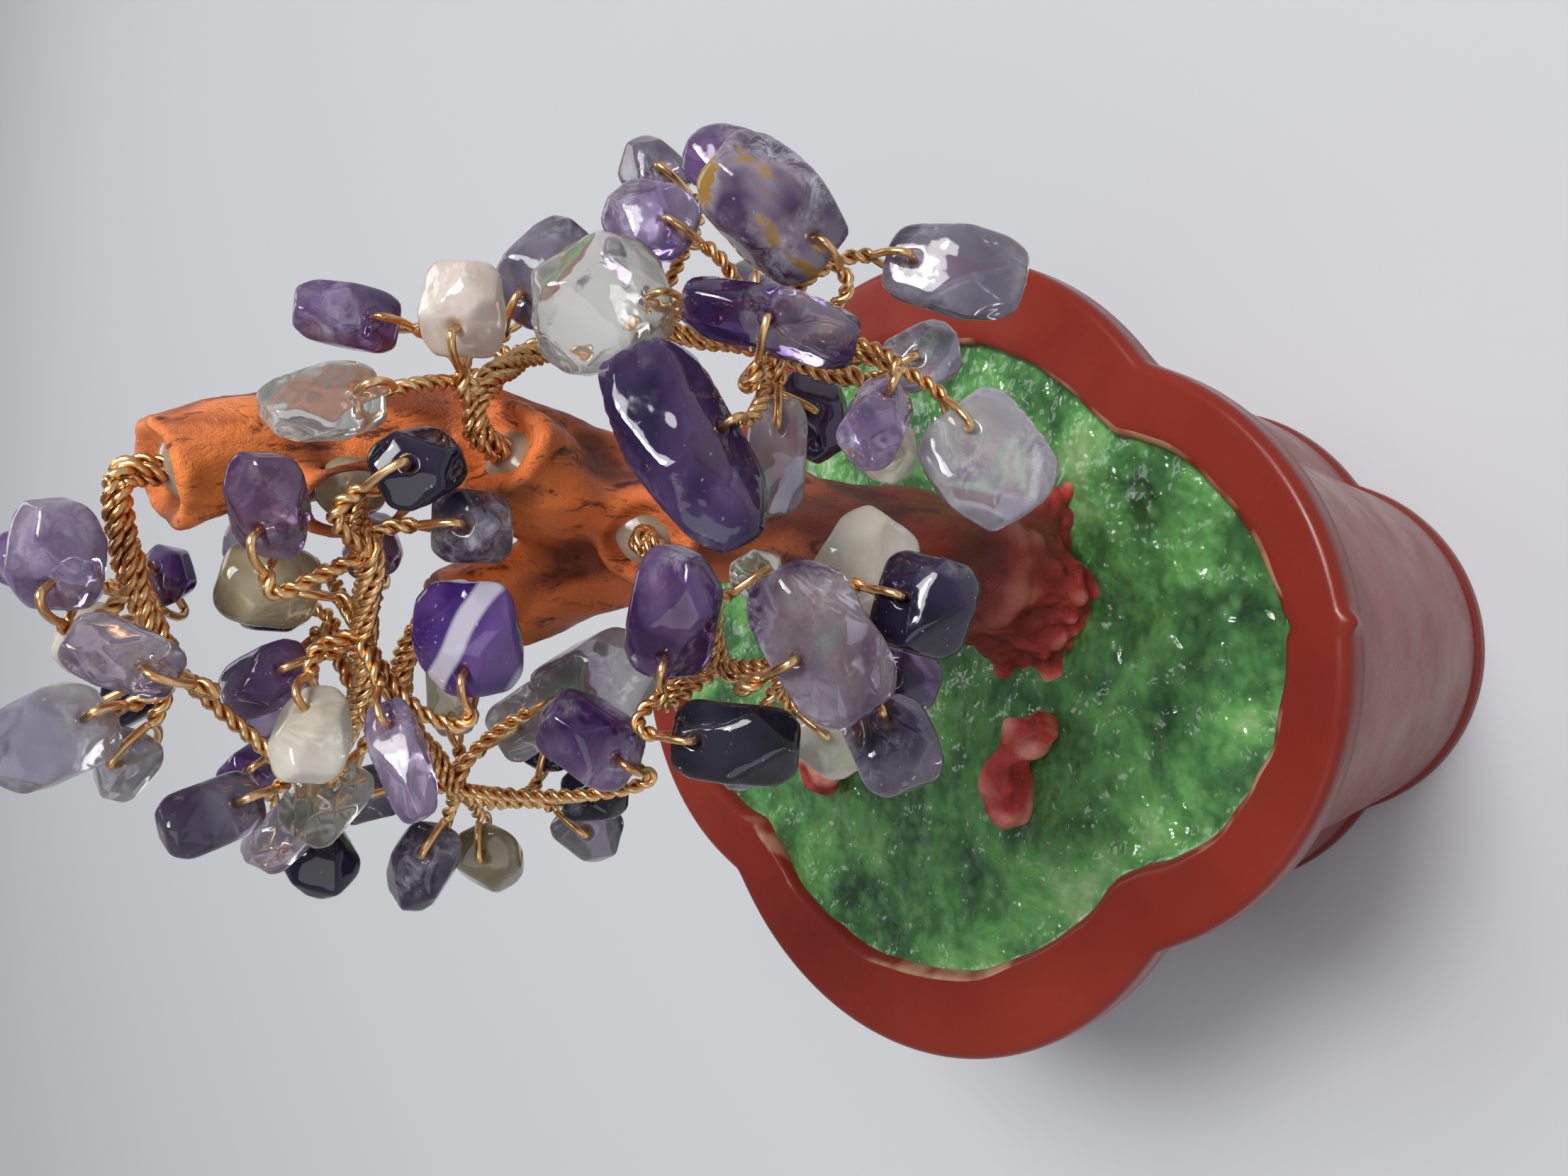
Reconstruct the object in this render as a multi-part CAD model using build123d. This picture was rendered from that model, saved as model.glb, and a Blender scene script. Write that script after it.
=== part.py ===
"""Gemstone tree ornament: a lobed lacquer pot, a cast trunk and five wire branches hung with drilled chips.

Millimetres, +Z up. The origin is the centre of the pot's foot, on the surface that it stands on.
-Y is the front. The tree is laid out from the pot's axis, with heights counted from the rim's top.
"""
from build123d import *
import math
import os
from collections import namedtuple

os.makedirs("parts", exist_ok=True)

# Pot: outline of four round lobes, lip above a tapering body
POT_HALF_X = 50.0
POT_HALF_Y = 56.0
LOBE_OFFSET_X = 9.0
LOBE_OFFSET_Y = 22.0
POT_HEIGHT = 72.0
LIP_HEIGHT = 4.5
LIP_OVERHANG = 3.5
LIP_EDGE_RADIUS = 1.2
MOUTH_HALF_X = 39.5
MOUTH_HALF_Y = 49.5
MOUTH_OFFSET_X = 3.0
MOUTH_OFFSET_Y = 25.0
FOOT_SCALE = 0.81
FOOT_BAND_HEIGHT = 2.5
FOOT_BAND_PROUD = 0.7
FLOOR_THICKNESS = 5.0
CAVITY_FOOT_SCALE = 0.78

# Filling of the pot
GROUND_DROP = 1.5
GROUND_THICKNESS = 8.0

# Trunk casting, heights from the rim's top
TRUNK_FOOT = (9.0, -18.0)
TENON_DIAMETER = 12.0
TENON_LENGTH = 26.0
COLUMN_SECTIONS = (
    ((9.0, -18.0), 0.0, (14.0, 10.5)),
    ((9.6, -18.0), 5.5, (11.0, 9.2)),
    ((10.8, -18.0), 15.0, (7.8, 7.4)),
    ((12.8, -17.8), 31.5, (6.3, 6.3)),
    ((13.3, -17.2), 47.5, (6.4, 6.2)),
    ((13.6, -16.6), 58.5, (5.8, 5.6)),
)
STUB_RADIUS = 4.3
LIMB_ROOT_RADIUS = 5.6

# Sockets: where each branch's wires are glued into the trunk
SOCKET_DIAMETER = 5.4
SOCKET_DEPTH = 7.0
PLUG_DOME = 1.0

# Wire
WIRE_DIAMETER = 0.6
TWIG_DIAMETER = 1.15
BUNDLE_DIAMETER = 2.8
BEND_BALL_DIAMETER = 3.4
BEND_CLEARANCE = 0.2
BEND_LEAD = 3.0
KNOT_DIAMETER = 3.4
SMALL = 1e-3
TILTED = (0.3, 0.5, 0.8)
TWIG_BOW = 0.12
ARC_SHARE = 0.45
SHORT_TWIG_SHARE = 0.5

# Drilled chips
BORE_CLEARANCE = 0.25
EYE_INSET = 2.2
LOOP_TAIL = 3.0
LOOP_SIDE = 0.9
LOOP_GAP_SHARE = 0.6
LOOP_CORNER_RADIUS = 0.8
NOSE_SHARE = 0.4
NOSE_REACH = 0.45
CORNER_CUT = 0.58
CORNER_SPREAD = 0.1
CORNER_PHASE = 2.4
FLAT_LEAN = 0.25

# Stray roots on the ground: where each one's knob and tail lie
SPURS = {
    "root_spur_left": ((-17.5, -15.0), (-7.5, -21.0)),
    "root_spur_rear": ((-17.0, 16.0), (-9.0, 11.0)),
}
SPUR_KNOB_RADIUS = 3.2
SPUR_NECK_RADIUS = 2.6
SPUR_TAIL_RADIUS = 2.3
SPUR_SUNK = 0.5

RIM_TOP = POT_HEIGHT
GROUND_TOP = POT_HEIGHT - GROUND_DROP
FRONT = Vector(0, -0.74, 0.67)

Branch = namedtuple("Branch", "mouth axis forks limb")
Chip = namedtuple("Chip", "node eye reach size flats")

# Each branch: socket mouth, socket axis, the points where its rope forks, and the line of its limb up to the socket.
# The middle branch is glued straight into the side of the tall limb, so it has no limb of its own.
BRANCHES = {
    "front": Branch((11.0, -22.5, 57.5), (-0.25, -0.80, 0.55),
                    ((6.5, -28.0, 55.5), (0.0, -27.5, 53.5), (0.5, -33.0, 49.5)), ((13.2, -17.0, 51.0),)),
    "right": Branch((17.0, -20.5, 69.5), (0.35, -0.35, 0.87),
                    ((22.0, -22.0, 72.5), (26.5, -19.0, 65.0), (28.5, -22.0, 57.0), (27.0, -29.5, 49.0)),
                    ((14.5, -17.0, 55.0),)),
    "left": Branch((4.5, -12.0, 69.0), (-0.35, 0.15, 0.92),
                   ((-3.0, -8.0, 72.5), (-10.5, -8.5, 67.5)), ((11.5, -15.5, 52.0),)),
    "middle": Branch((13.6, -16.7, 80.7), (-0.80, -0.58, 0.15),
                     ((9.0, -21.5, 81.5), (3.0, -15.0, 79.0), (-2.5, -10.0, 77.0), (-8.0, -3.0, 76.5)), ()),
    "top": Branch((15.0, -12.5, 92.0), (-0.30, 0.0, 0.95),
                  ((6.5, -12.0, 94.5), (0.5, -12.5, 92.0)), ((13.6, -16.4, 52.0), (18.6, -14.6, 69.0))),
}

# Chips that hang free at a twig's end: eye of the bore, direction of the chip from its eye,
# (length, width, thickness), and the flats broken off its sides: (degrees from its length, depth)
FREE_CHIPS = {
    "front": (
        Chip("front_violet_chip", (1.5, -30.0, 61.0), (0.9, -0.4, 0.1), (10.5, 7.0, 5.0),
             ((-48, 2.2), (62, 0.8))),
        Chip("front_black_chip", (-5.5, -30.5, 58.5), (-0.1, -0.7, -0.7), (10.5, 6.5, 5.0),
             ((151, 1.3), (-114, 1.3), (40, 0.8))),
        Chip("front_lavender_chip", (1.0, -39.0, 55.5), (0.5, -0.6, -0.6), (8.5, 13.0, 5.5),
             ((-60, 1.6), (44, 2.4))),
        Chip("front_white_chip", (5.5, -32.5, 44.5), (0.8, -0.4, -0.4), (10.5, 8.0, 4.5),
             ((-35, 1.4), (65, 1.0))),
        Chip("front_indigo_cube", (5.5, -41.0, 46.0), (-0.3, -0.7, -0.7), (8.0, 8.0, 6.5), ()),
        Chip("front_smoky_chip", (-4.5, -39.0, 46.0), (-0.9, -0.4, -0.1), (8.0, 7.0, 5.0),
             ((-51, 1.2), (70, 0.8))),
    ),
    "right": (
        Chip("right_clear_slab", (29.5, -27.0, 61.0), (-0.1, 0.3, 0.9), (11.0, 11.0, 5.5),
             ((-58, 3.2), (122, 3.2))),
        Chip("right_slate_chip", (31.5, -15.0, 64.5), (0.8, -0.3, -0.4), (10.0, 6.5, 5.0),
             ((142, 1.2), (-40, 1.4))),
        Chip("right_flat_chip", (40.5, -31.5, 50.5), (0.4, 0.7, 0.5), (10.5, 6.0, 3.5),
             ((-44, 1.2), (60, 0.8))),
        Chip("right_matrix_chip", (33.5, -38.0, 53.0), (0.6, 0.3, 0.7), (12.0, 8.5, 6.5),
             ((-105, 2.0), (155, 1.5), (35, 1.6))),
        Chip("right_crystal", (26.5, -37.0, 56.5), (0.95, -0.1, -0.25), (5.0, 14.0, 4.5),
             ((125, 1.2), (45, 1.0))),
        Chip("right_large_chip", (17.5, -36.0, 61.5), (-0.4, 0.1, 0.9), (8.5, 17.0, 5.5),
             ((135, 2.6), (40, 2.4), (-119, 2.0))),
        Chip("right_small_chip", (20.5, -42.5, 49.5), (-0.8, -0.1, 0.6), (8.5, 5.0, 4.0),
             ((-95, 1.0), (-25, 1.2))),
        Chip("right_milky_chip", (19.0, -44.0, 41.5), (-0.8, -0.3, -0.5), (10.5, 9.5, 5.5),
             ((40, 1.6), (-70, 2.2))),
        Chip("right_bent_chip", (32.5, -41.5, 45.0), (-0.2, -0.7, -0.7), (11.5, 7.0, 5.0),
             ((161, 1.3), (46, 1.4), (-70, 0.9))),
        Chip("right_teardrop_chip", (19.5, -24.0, 84.0), (-0.3, 0.0, 0.95), (8.5, 5.0, 4.0),
             ((-143, 0.9), (60, 0.8))),
        Chip("right_quartz_chip", (25.5, -25.0, 76.0), (0.9, -0.2, 0.1), (7.0, 6.0, 5.0), ()),
    ),
    "left": (
        Chip("left_purple_chip", (-7.0, -22.0, 60.5), (0.5, 0.2, 0.8), (9.0, 6.5, 5.0),
             ((-85, 1.2), (25, 1.2))),
        Chip("left_grey_chip", (-2.5, -15.5, 61.0), (0.4, -0.6, -0.7), (10.0, 8.0, 5.5),
             ((96, 1.4), (-64, 1.2))),
        Chip("left_olive_chip", (-17.0, 0.0, 60.0), (-0.8, 0.4, -0.4), (8.0, 6.5, 4.5), ((50, 1.2),)),
        Chip("left_round_chip", (-16.0, -3.0, 67.0), (-0.8, 0.6, 0.1), (9.0, 5.5, 4.5), ((-55, 1.0),)),
    ),
    "middle": (
        Chip("middle_white_chip", (-3.0, -16.0, 83.5), (-0.85, -0.5, 0.2), (7.5, 5.5, 4.0), ()),
        Chip("middle_crescent_chip", (-4.0, -19.0, 78.5), (-0.9, -0.4, -0.1), (9.5, 4.0, 3.5),
             ((-61, 1.0),)),
        Chip("middle_dark_chip", (-15.5, 6.0, 75.0), (-0.8, -0.1, -0.6), (8.0, 6.0, 4.5),
             ((40, 1.3), (-75, 0.8))),
        Chip("middle_olive_bead", (6.5, -12.0, 83.5), (0.2, 0.3, 0.95), (7.5, 6.5, 6.0), ()),
        Chip("middle_rose_chip", (10.5, -20.5, 88.5), (0.9, -0.3, 0.1), (7.5, 5.5, 4.0), ((48, 0.8),)),
        Chip("middle_stub_chip", (11.0, -23.0, 75.0), (0.0, -0.4, -0.9), (6.0, 5.5, 4.5), ((-50, 0.9),)),
        Chip("middle_banded_chip", (0.3, -21.5, 73.5), (0.9, -0.1, 0.1), (9.0, 8.0, 5.0),
             ((125, 2.2), (50, 1.4))),
    ),
    "top": (
        Chip("top_pale_chip", (-3.0, -12.0, 98.0), (-0.3, -0.1, 0.9), (8.5, 6.5, 4.0),
             ((-77, 1.4), (40, 1.3))),
        Chip("top_lilac_chip", (1.0, -16.5, 95.0), (0.4, 0.3, 0.85), (7.5, 4.5, 4.0), ((-40, 0.9),)),
        Chip("top_tip_chip", (8.0, -7.0, 99.5), (0.3, 0.5, 0.8), (5.5, 4.0, 3.5), ((40, 0.8),)),
        Chip("top_square_chip", (7.0, -12.5, 99.5), (0.9, -0.3, 0.2), (7.5, 6.0, 4.0), ()),
        Chip("top_hanging_chip", (-9.5, -13.0, 88.0), (-0.3, 0.0, 0.95), (7.5, 5.0, 4.0), ((55, 0.9),)),
    ),
}

# Chips wedged among the others, which don't turn
INNER_CHIPS = {
    "front": (
        Chip("", (-5.5, -31.0, 45.5), (-0.6, -0.2, -0.8), (7.0, 6.0, 4.0), ()),
        Chip("", (-6.5, -26.0, 49.5), (-0.8, 0.5, 0.1), (6.5, 5.0, 4.0), ()),
        Chip("", (7.5, -26.0, 48.5), (0.4, 0.1, -0.9), (5.5, 4.5, 3.5), ()),
        Chip("", (-1.0, -35.5, 41.5), (-0.2, -0.6, -0.8), (6.5, 5.0, 4.0), ()),
    ),
    "right": (
        Chip("", (36.5, -26.0, 57.5), (0.5, 0.7, 0.5), (8.0, 6.5, 4.0), ()),
        Chip("", (43.0, -20.5, 54.0), (0.6, 0.7, 0.4), (6.5, 5.0, 4.0), ()),
        Chip("", (20.0, -32.5, 51.5), (-0.9, 0.3, -0.2), (10.0, 5.0, 4.0), ()),
        Chip("", (32.5, -26.0, 48.0), (0.7, 0.5, -0.5), (6.5, 5.5, 4.0), ()),
        Chip("", (22.5, -28.5, 45.5), (-0.3, 0.1, -0.9), (8.0, 7.0, 5.0), ()),
        Chip("", (26.0, -36.5, 39.5), (0.4, -0.5, -0.8), (6.5, 5.5, 4.0), ()),
        Chip("", (18.5, -36.0, 42.0), (-0.8, 0.3, -0.4), (5.5, 4.5, 3.5), ()),
        Chip("", (27.7, -14.0, 78.0), (0.1, 0.3, 0.95), (8.0, 5.0, 4.0), ()),
    ),
    "left": (
        Chip("", (-4.0, -5.0, 66.0), (0.9, -0.1, 0.2), (8.5, 4.0, 3.5), ()),
        Chip("", (-5.5, -9.0, 62.0), (0.5, -0.3, -0.8), (7.5, 6.0, 4.5), ()),
        Chip("", (-15.5, -4.0, 52.0), (-0.5, 0.0, -0.85), (7.0, 5.5, 4.5), ()),
        Chip("", (-12.0, -9.5, 55.0), (0.1, -0.4, -0.9), (6.0, 5.0, 4.0), ()),
        Chip("", (-8.0, -5.0, 56.0), (0.8, 0.2, -0.5), (8.0, 5.5, 4.5), ()),
        Chip("", (-11.0, -1.0, 71.5), (-0.2, 0.9, 0.3), (6.5, 5.0, 4.0), ()),
    ),
    "middle": (
        Chip("", (-9.0, -10.0, 79.0), (-0.8, 0.3, 0.5), (7.0, 5.5, 4.0), ()),
        Chip("", (-12.5, -2.5, 79.0), (-0.7, 0.5, 0.5), (7.5, 4.5, 4.0), ()),
        Chip("", (-8.5, 0.0, 81.5), (-0.6, 0.4, 0.6), (5.5, 4.5, 3.5), ()),
        Chip("", (0.0, -5.0, 80.5), (-0.8, 0.5, 0.3), (8.5, 5.0, 4.0), ()),
        Chip("", (0.0, -9.5, 83.0), (-0.4, 0.4, 0.8), (7.0, 5.0, 4.0), ()),
        Chip("", (14.5, -25.0, 80.5), (0.45, -0.2, -0.87), (6.5, 5.5, 4.0), ()),
        Chip("", (9.5, -8.0, 75.0), (0.7, 0.6, -0.2), (6.5, 4.5, 3.5), ()),
        Chip("", (10.0, -4.5, 82.5), (0.3, 0.5, 0.8), (5.5, 4.5, 4.0), ()),
        Chip("", (5.5, -2.5, 81.0), (0.1, 0.8, 0.6), (5.5, 4.5, 4.0), ()),
    ),
    "top": (
        Chip("", (3.0, -7.5, 96.0), (-0.4, 0.7, 0.6), (5.0, 4.5, 3.5), ()),
        Chip("", (-6.0, -9.0, 94.0), (-0.8, 0.5, 0.3), (5.0, 4.0, 3.5), ()),
        Chip("", (-1.5, -5.5, 93.0), (-0.4, 0.9, 0.2), (5.0, 4.0, 3.5), ()),
        Chip("", (7.0, -7.0, 91.0), (0.6, 0.7, -0.3), (5.5, 4.0, 3.5), ()),
    ),
}


def tree_point(place):
    """A place in the tree: x and y from the pot's axis, height from the rim's top."""
    x, y, z = place
    return Vector(x, y, RIM_TOP + z)


def save(shape, node):
    export_step(shape, f"parts/{node}.step")


def quatrefoil(half_x, half_y, offset_x, offset_y):
    """Closed outline of four round lobes, each a circle whose centre stands off the middle along an axis."""
    radius_x = half_x - offset_x
    radius_y = half_y - offset_y
    span = math.hypot(offset_x, offset_y)
    along = (span**2 + radius_x**2 - radius_y**2) / (2 * span)
    aside = math.sqrt(radius_x**2 - along**2)
    notch_x = offset_x - along * offset_x / span + aside * offset_y / span
    notch_y = along * offset_y / span + aside * offset_x / span
    side = ThreePointArc((notch_x, -notch_y), (half_x, 0), (notch_x, notch_y))
    back = ThreePointArc((notch_x, notch_y), (0, half_y), (-notch_x, notch_y))
    other_side = ThreePointArc((-notch_x, notch_y), (-half_x, 0), (-notch_x, -notch_y))
    near = ThreePointArc((-notch_x, -notch_y), (0, -half_y), (notch_x, -notch_y))
    return make_face(Wire([side, back, other_side, near]))


def pot_outline(inset, share=1.0):
    """The pot's outline, drawn in by inset and scaled by share."""
    return quatrefoil((POT_HALF_X - inset) * share, (POT_HALF_Y - inset) * share,
                      LOBE_OFFSET_X * share, LOBE_OFFSET_Y * share)


def cavity_share(height):
    """Scale of the cavity's outline at a height: 1 at the rim, CAVITY_FOOT_SCALE at the floor."""
    rise = (height - FLOOR_THICKNESS) / (POT_HEIGHT - FLOOR_THICKNESS)
    return CAVITY_FOOT_SCALE + (1 - CAVITY_FOOT_SCALE) * rise


def cavity_slice(low, high):
    """The part of the pot's cavity between two heights."""
    ends = []
    for height in (low, high):
        share = cavity_share(height)
        ends.append(Pos(0, 0, height) * quatrefoil(MOUTH_HALF_X * share, MOUTH_HALF_Y * share,
                                                   MOUTH_OFFSET_X * share, MOUTH_OFFSET_Y * share))
    return loft(ends, ruled=True)


def make_pot():
    lip_bottom = POT_HEIGHT - LIP_HEIGHT
    body = loft([Pos(0, 0, 0) * pot_outline(LIP_OVERHANG, FOOT_SCALE),
                 Pos(0, 0, lip_bottom) * pot_outline(LIP_OVERHANG)], ruled=True)
    band = extrude(pot_outline(LIP_OVERHANG - FOOT_BAND_PROUD / FOOT_SCALE, FOOT_SCALE), FOOT_BAND_HEIGHT)
    lip = extrude(Pos(0, 0, lip_bottom) * pot_outline(0), LIP_HEIGHT)
    lip = fillet(lip.faces().sort_by(Axis.Z)[-1].edges(), LIP_EDGE_RADIUS)
    return body + band + lip - cavity_slice(FLOOR_THICKNESS, POT_HEIGHT)


def tenon_hole():
    return Pos(*TRUNK_FOOT, GROUND_TOP - TENON_LENGTH) * Cylinder(
        TENON_DIAMETER / 2, TENON_LENGTH, align=(Align.CENTER, Align.CENTER, Align.MIN))


def socket_plane(branch):
    """Plane at a branch's socket mouth, its z axis along the socket and out of the trunk."""
    return Plane(origin=tree_point(branch.mouth), z_dir=Vector(*branch.axis))


def limb(points, radii):
    """A round limb lofted through circles square to its line."""
    points = [Vector(*p) for p in points]
    sections = []
    for i, point in enumerate(points):
        ahead = points[min(i + 1, len(points) - 1)]
        behind = points[max(i - 1, 0)]
        sections.append(Plane(origin=point, z_dir=ahead - behind) * Circle(radii[i]))
    return loft(sections)


def make_trunk():
    column = loft([Pos(*centre, GROUND_TOP + height) * Ellipse(*half)
                   for centre, height, half in COLUMN_SECTIONS])
    trunk = column + tenon_hole()
    for branch in BRANCHES.values():
        if branch.limb:
            plane = socket_plane(branch)
            line = [tree_point(p) for p in branch.limb] + [plane.origin - plane.z_dir * SOCKET_DEPTH, plane.origin]
            radii = [LIMB_ROOT_RADIUS] * len(branch.limb) + [(LIMB_ROOT_RADIUS + STUB_RADIUS) / 2, STUB_RADIUS]
            trunk = trunk + limb(line, radii)
    for branch in BRANCHES.values():
        trunk = trunk - socket_plane(branch) * Pos(0, 0, -SOCKET_DEPTH) * Cylinder(
            SOCKET_DIAMETER / 2, SOCKET_DEPTH * 2, align=(Align.CENTER, Align.CENTER, Align.MIN))
    return trunk


def bend_point(branch):
    """Where a branch's rope bends: the top of the glue in its socket."""
    plane = socket_plane(branch)
    return plane.origin + plane.z_dir * PLUG_DOME


def make_root(branch):
    """The rope's end, held in the glue below the bend."""
    rope = socket_plane(branch) * Pos(0, 0, -SOCKET_DEPTH) * Cylinder(
        BUNDLE_DIAMETER / 2, SOCKET_DEPTH, align=(Align.CENTER, Align.CENTER, Align.MIN))
    return rope - bend_cup(branch)


def bend_cup(branch):
    return Pos(*bend_point(branch)) * Sphere(BEND_BALL_DIAMETER / 2 + BEND_CLEARANCE)


def make_plug(branch):
    """Glue that fills a socket round the rope, with a low dome at its mouth."""
    radius = SOCKET_DIAMETER / 2
    rope = BUNDLE_DIAMETER / 2
    dome = (radius**2 + PLUG_DOME**2) / (2 * PLUG_DOME)
    crown = math.sqrt(dome**2 - rope**2) - dome + PLUG_DOME
    half_way = (radius + rope) / 2
    shoulder = math.sqrt(dome**2 - half_way**2) - dome + PLUG_DOME
    walls = Polyline((rope, 0, crown), (rope, 0, -SOCKET_DEPTH), (radius, 0, -SOCKET_DEPTH), (radius, 0, 0))
    crest = ThreePointArc((radius, 0, 0), (half_way, 0, shoulder), (rope, 0, crown))
    ring = revolve(make_face(walls.edges() + crest.edges()), Axis.Z)
    return socket_plane(branch) * ring - bend_cup(branch)


def chip_plane(chip):
    """Plane at a chip's eye: x along the chip, z along its bore."""
    reach = Vector(*chip.reach).normalized()
    across = FRONT.cross(reach).normalized()
    return Plane(origin=tree_point(chip.eye), x_dir=reach, z_dir=reach.cross(across))


def half_thickness(chip, x):
    """Half of a chip's thickness at x from its eye: a nose that widens to the full thickness."""
    length, _, thick = chip.size
    nose = NOSE_SHARE * thick / 2
    rise = (x + EYE_INSET) / (NOSE_REACH * length)
    return nose + (thick / 2 - nose) * min(rise, 1.0)


def make_chip(chip):
    """A tumbled chip: a slab with a thin nose at its eye, its eight corners cut away unevenly, then its flats."""
    length, width, thick = chip.size
    middle = length / 2 - EYE_INSET
    start = -EYE_INSET
    full = start + NOSE_REACH * length
    nose = NOSE_SHARE * thick / 2
    profile = Polyline((start, -nose), (full, -thick / 2), (start + length, -thick / 2),
                       (start + length, thick / 2), (full, thick / 2), (start, nose), close=True)
    body = extrude(Plane.XZ * make_face(profile), width / 2, both=True)
    phase = sum(chip.eye)
    for corner in range(8):
        sx = 1 if corner & 1 else -1
        sy = 1 if corner & 2 else -1
        sz = 1 if corner & 4 else -1
        cut = CORNER_CUT + CORNER_SPREAD * math.sin(phase + CORNER_PHASE * corner)
        centre = Vector(middle, 0, 0)
        normal = Vector(sx / length, sy / width, sz / thick)
        at = centre + Vector(sx * length, sy * width, sz * thick) * (cut / 2)
        body = split(body, Plane(origin=at, z_dir=normal), keep=Keep.BOTTOM)
    for side, (degrees, depth) in enumerate(chip.flats):
        lean = -FLAT_LEAN if side % 2 else FLAT_LEAN
        normal = Vector(math.cos(math.radians(degrees)), math.sin(math.radians(degrees)), lean)
        corner_reach = (abs(normal.X) * length + abs(normal.Y) * width + abs(normal.Z) * thick) / 2
        at = Vector(middle, 0, 0) + normal * ((corner_reach - depth) / normal.length**2)
        body = split(body, Plane(origin=at, z_dir=normal), keep=Keep.BOTTOM)
    bore = Cylinder(WIRE_DIAMETER / 2 + BORE_CLEARANCE, thick * 2)
    return chip_plane(chip) * (body - bore)


def twist_end(chip):
    """Where the twisted pair ends and its loop through the chip begins."""
    plane = chip_plane(chip)
    return plane.origin - plane.x_dir * (EYE_INSET + LOOP_TAIL)


def make_loop(chip):
    """One wire from the twist's end, through the bore and back."""
    tail = -(EYE_INSET + LOOP_TAIL)
    side = half_thickness(chip, 0) + LOOP_SIDE
    gap = WIRE_DIAMETER * LOOP_GAP_SHARE
    path = FilletPolyline((tail, 0, gap), (0, 0, side), (0, 0, -side), (tail, 0, -gap), radius=LOOP_CORNER_RADIUS)
    wire = sweep(Plane(origin=path @ 0, z_dir=path % 0) * Circle(WIRE_DIAMETER / 2), path)
    return chip_plane(chip) * wire


def tube(start, corner, end, diameter):
    """A round rope in two straight runs joined by a tangent arc."""
    turn = (corner - start).get_angle(end - corner)
    shorter = min((corner - start).length, (end - corner).length)
    path = FilletPolyline(start, corner, end, radius=ARC_SHARE * shorter / math.tan(math.radians(turn / 2)))
    return sweep(Plane(origin=path @ 0, z_dir=path % 0) * Circle(diameter / 2), path)


def ball(centre, diameter):
    return Pos(*centre) * Sphere(diameter / 2)


def knot(centre, diameter, *runs):
    """A ball whose poles and seam lie away from the one or two runs of rope that leave it."""
    away = -sum((run.normalized() for run in runs), Vector())
    pole = runs[0].cross(runs[-1])
    if pole.length < SMALL:
        pole = runs[0].cross(Vector(*TILTED))
    if away.length < SMALL:
        away = runs[0].cross(pole)
    return Plane(origin=centre, x_dir=away.normalized(), z_dir=pole.normalized()) * Sphere(diameter / 2)


def make_rope(branch):
    """A branch's rope: the ball at its bend, then run by run to its forks, with a knot at each."""
    bend = bend_point(branch)
    lead = bend + socket_plane(branch).z_dir * BEND_LEAD
    forks = [tree_point(fork) for fork in branch.forks]
    rope = knot(bend, BEND_BALL_DIAMETER, lead - bend) + tube(bend, lead, forks[0], BUNDLE_DIAMETER)
    for before, here, after in zip([lead] + forks, forks, forks[1:]):
        run = Plane(origin=here, z_dir=after - here) * Cylinder(
            BUNDLE_DIAMETER / 2, (after - here).length, align=(Align.CENTER, Align.CENTER, Align.MIN))
        rope = rope + knot(here, KNOT_DIAMETER, before - here, after - here) + run
    return rope + knot(forks[-1], KNOT_DIAMETER, forks[-2] - forks[-1])


def make_twig(branch, chip):
    """A twisted pair from the nearest knot's surface to where the loop through a chip begins."""
    end = twist_end(chip)
    fork = min((tree_point(place) for place in branch.forks), key=lambda point: (point - end).length)
    corner = (fork + end) / 2 + Vector(0, 0, TWIG_BOW * (end - fork).length)
    first_run = corner - fork
    start = fork + first_run.normalized() * min(KNOT_DIAMETER / 2, first_run.length * SHORT_TWIG_SHARE)
    return tube(start, corner, end, TWIG_DIAMETER)


def make_branch_wire(name):
    """All the wires of a branch: its rope, and for each chip a twisted pair and a loop."""
    branch = BRANCHES[name]
    wires = [make_rope(branch)]
    for chip in FREE_CHIPS[name] + INNER_CHIPS[name]:
        wires += [make_twig(branch, chip), make_loop(chip)]
    return Compound([wire.solid() for wire in wires])


def make_spur(knob, tail):
    """A stray root that lies on the ground, cut flat below."""
    knob = Vector(*knob, GROUND_TOP + SPUR_KNOB_RADIUS * SPUR_SUNK)
    tail = Vector(*tail, GROUND_TOP + SPUR_TAIL_RADIUS * SPUR_SUNK)
    shaft = limb([tail, (tail + knob) / 2, knob], [SPUR_TAIL_RADIUS, SPUR_TAIL_RADIUS, SPUR_NECK_RADIUS])
    root = shaft + ball(knob, SPUR_KNOB_RADIUS * 2)
    return split(root, Plane(origin=(0, 0, GROUND_TOP)), keep=Keep.TOP)


ground_bottom = GROUND_TOP - GROUND_THICKNESS
save(make_pot(), "pot")
save(cavity_slice(FLOOR_THICKNESS, ground_bottom) - tenon_hole(), "pot_filling")
save(cavity_slice(ground_bottom, GROUND_TOP) - tenon_hole(), "green_ground")
save(make_trunk(), "trunk")
for node, (knob, tail) in SPURS.items():
    save(make_spur(knob, tail), node)
for name, branch in BRANCHES.items():
    save(make_plug(branch), f"{name}_glue_plug")
    save(make_root(branch), f"{name}_rope_end")
    save(make_branch_wire(name), f"{name}_branch_wire")
    for chip in FREE_CHIPS[name]:
        save(make_chip(chip), chip.node)
    save(Compound([make_chip(chip) for chip in INNER_CHIPS[name]]), f"{name}_inner_chips")
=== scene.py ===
import math

import bmesh
import bpy
import numpy as np
from mathutils import Matrix, Vector


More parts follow.
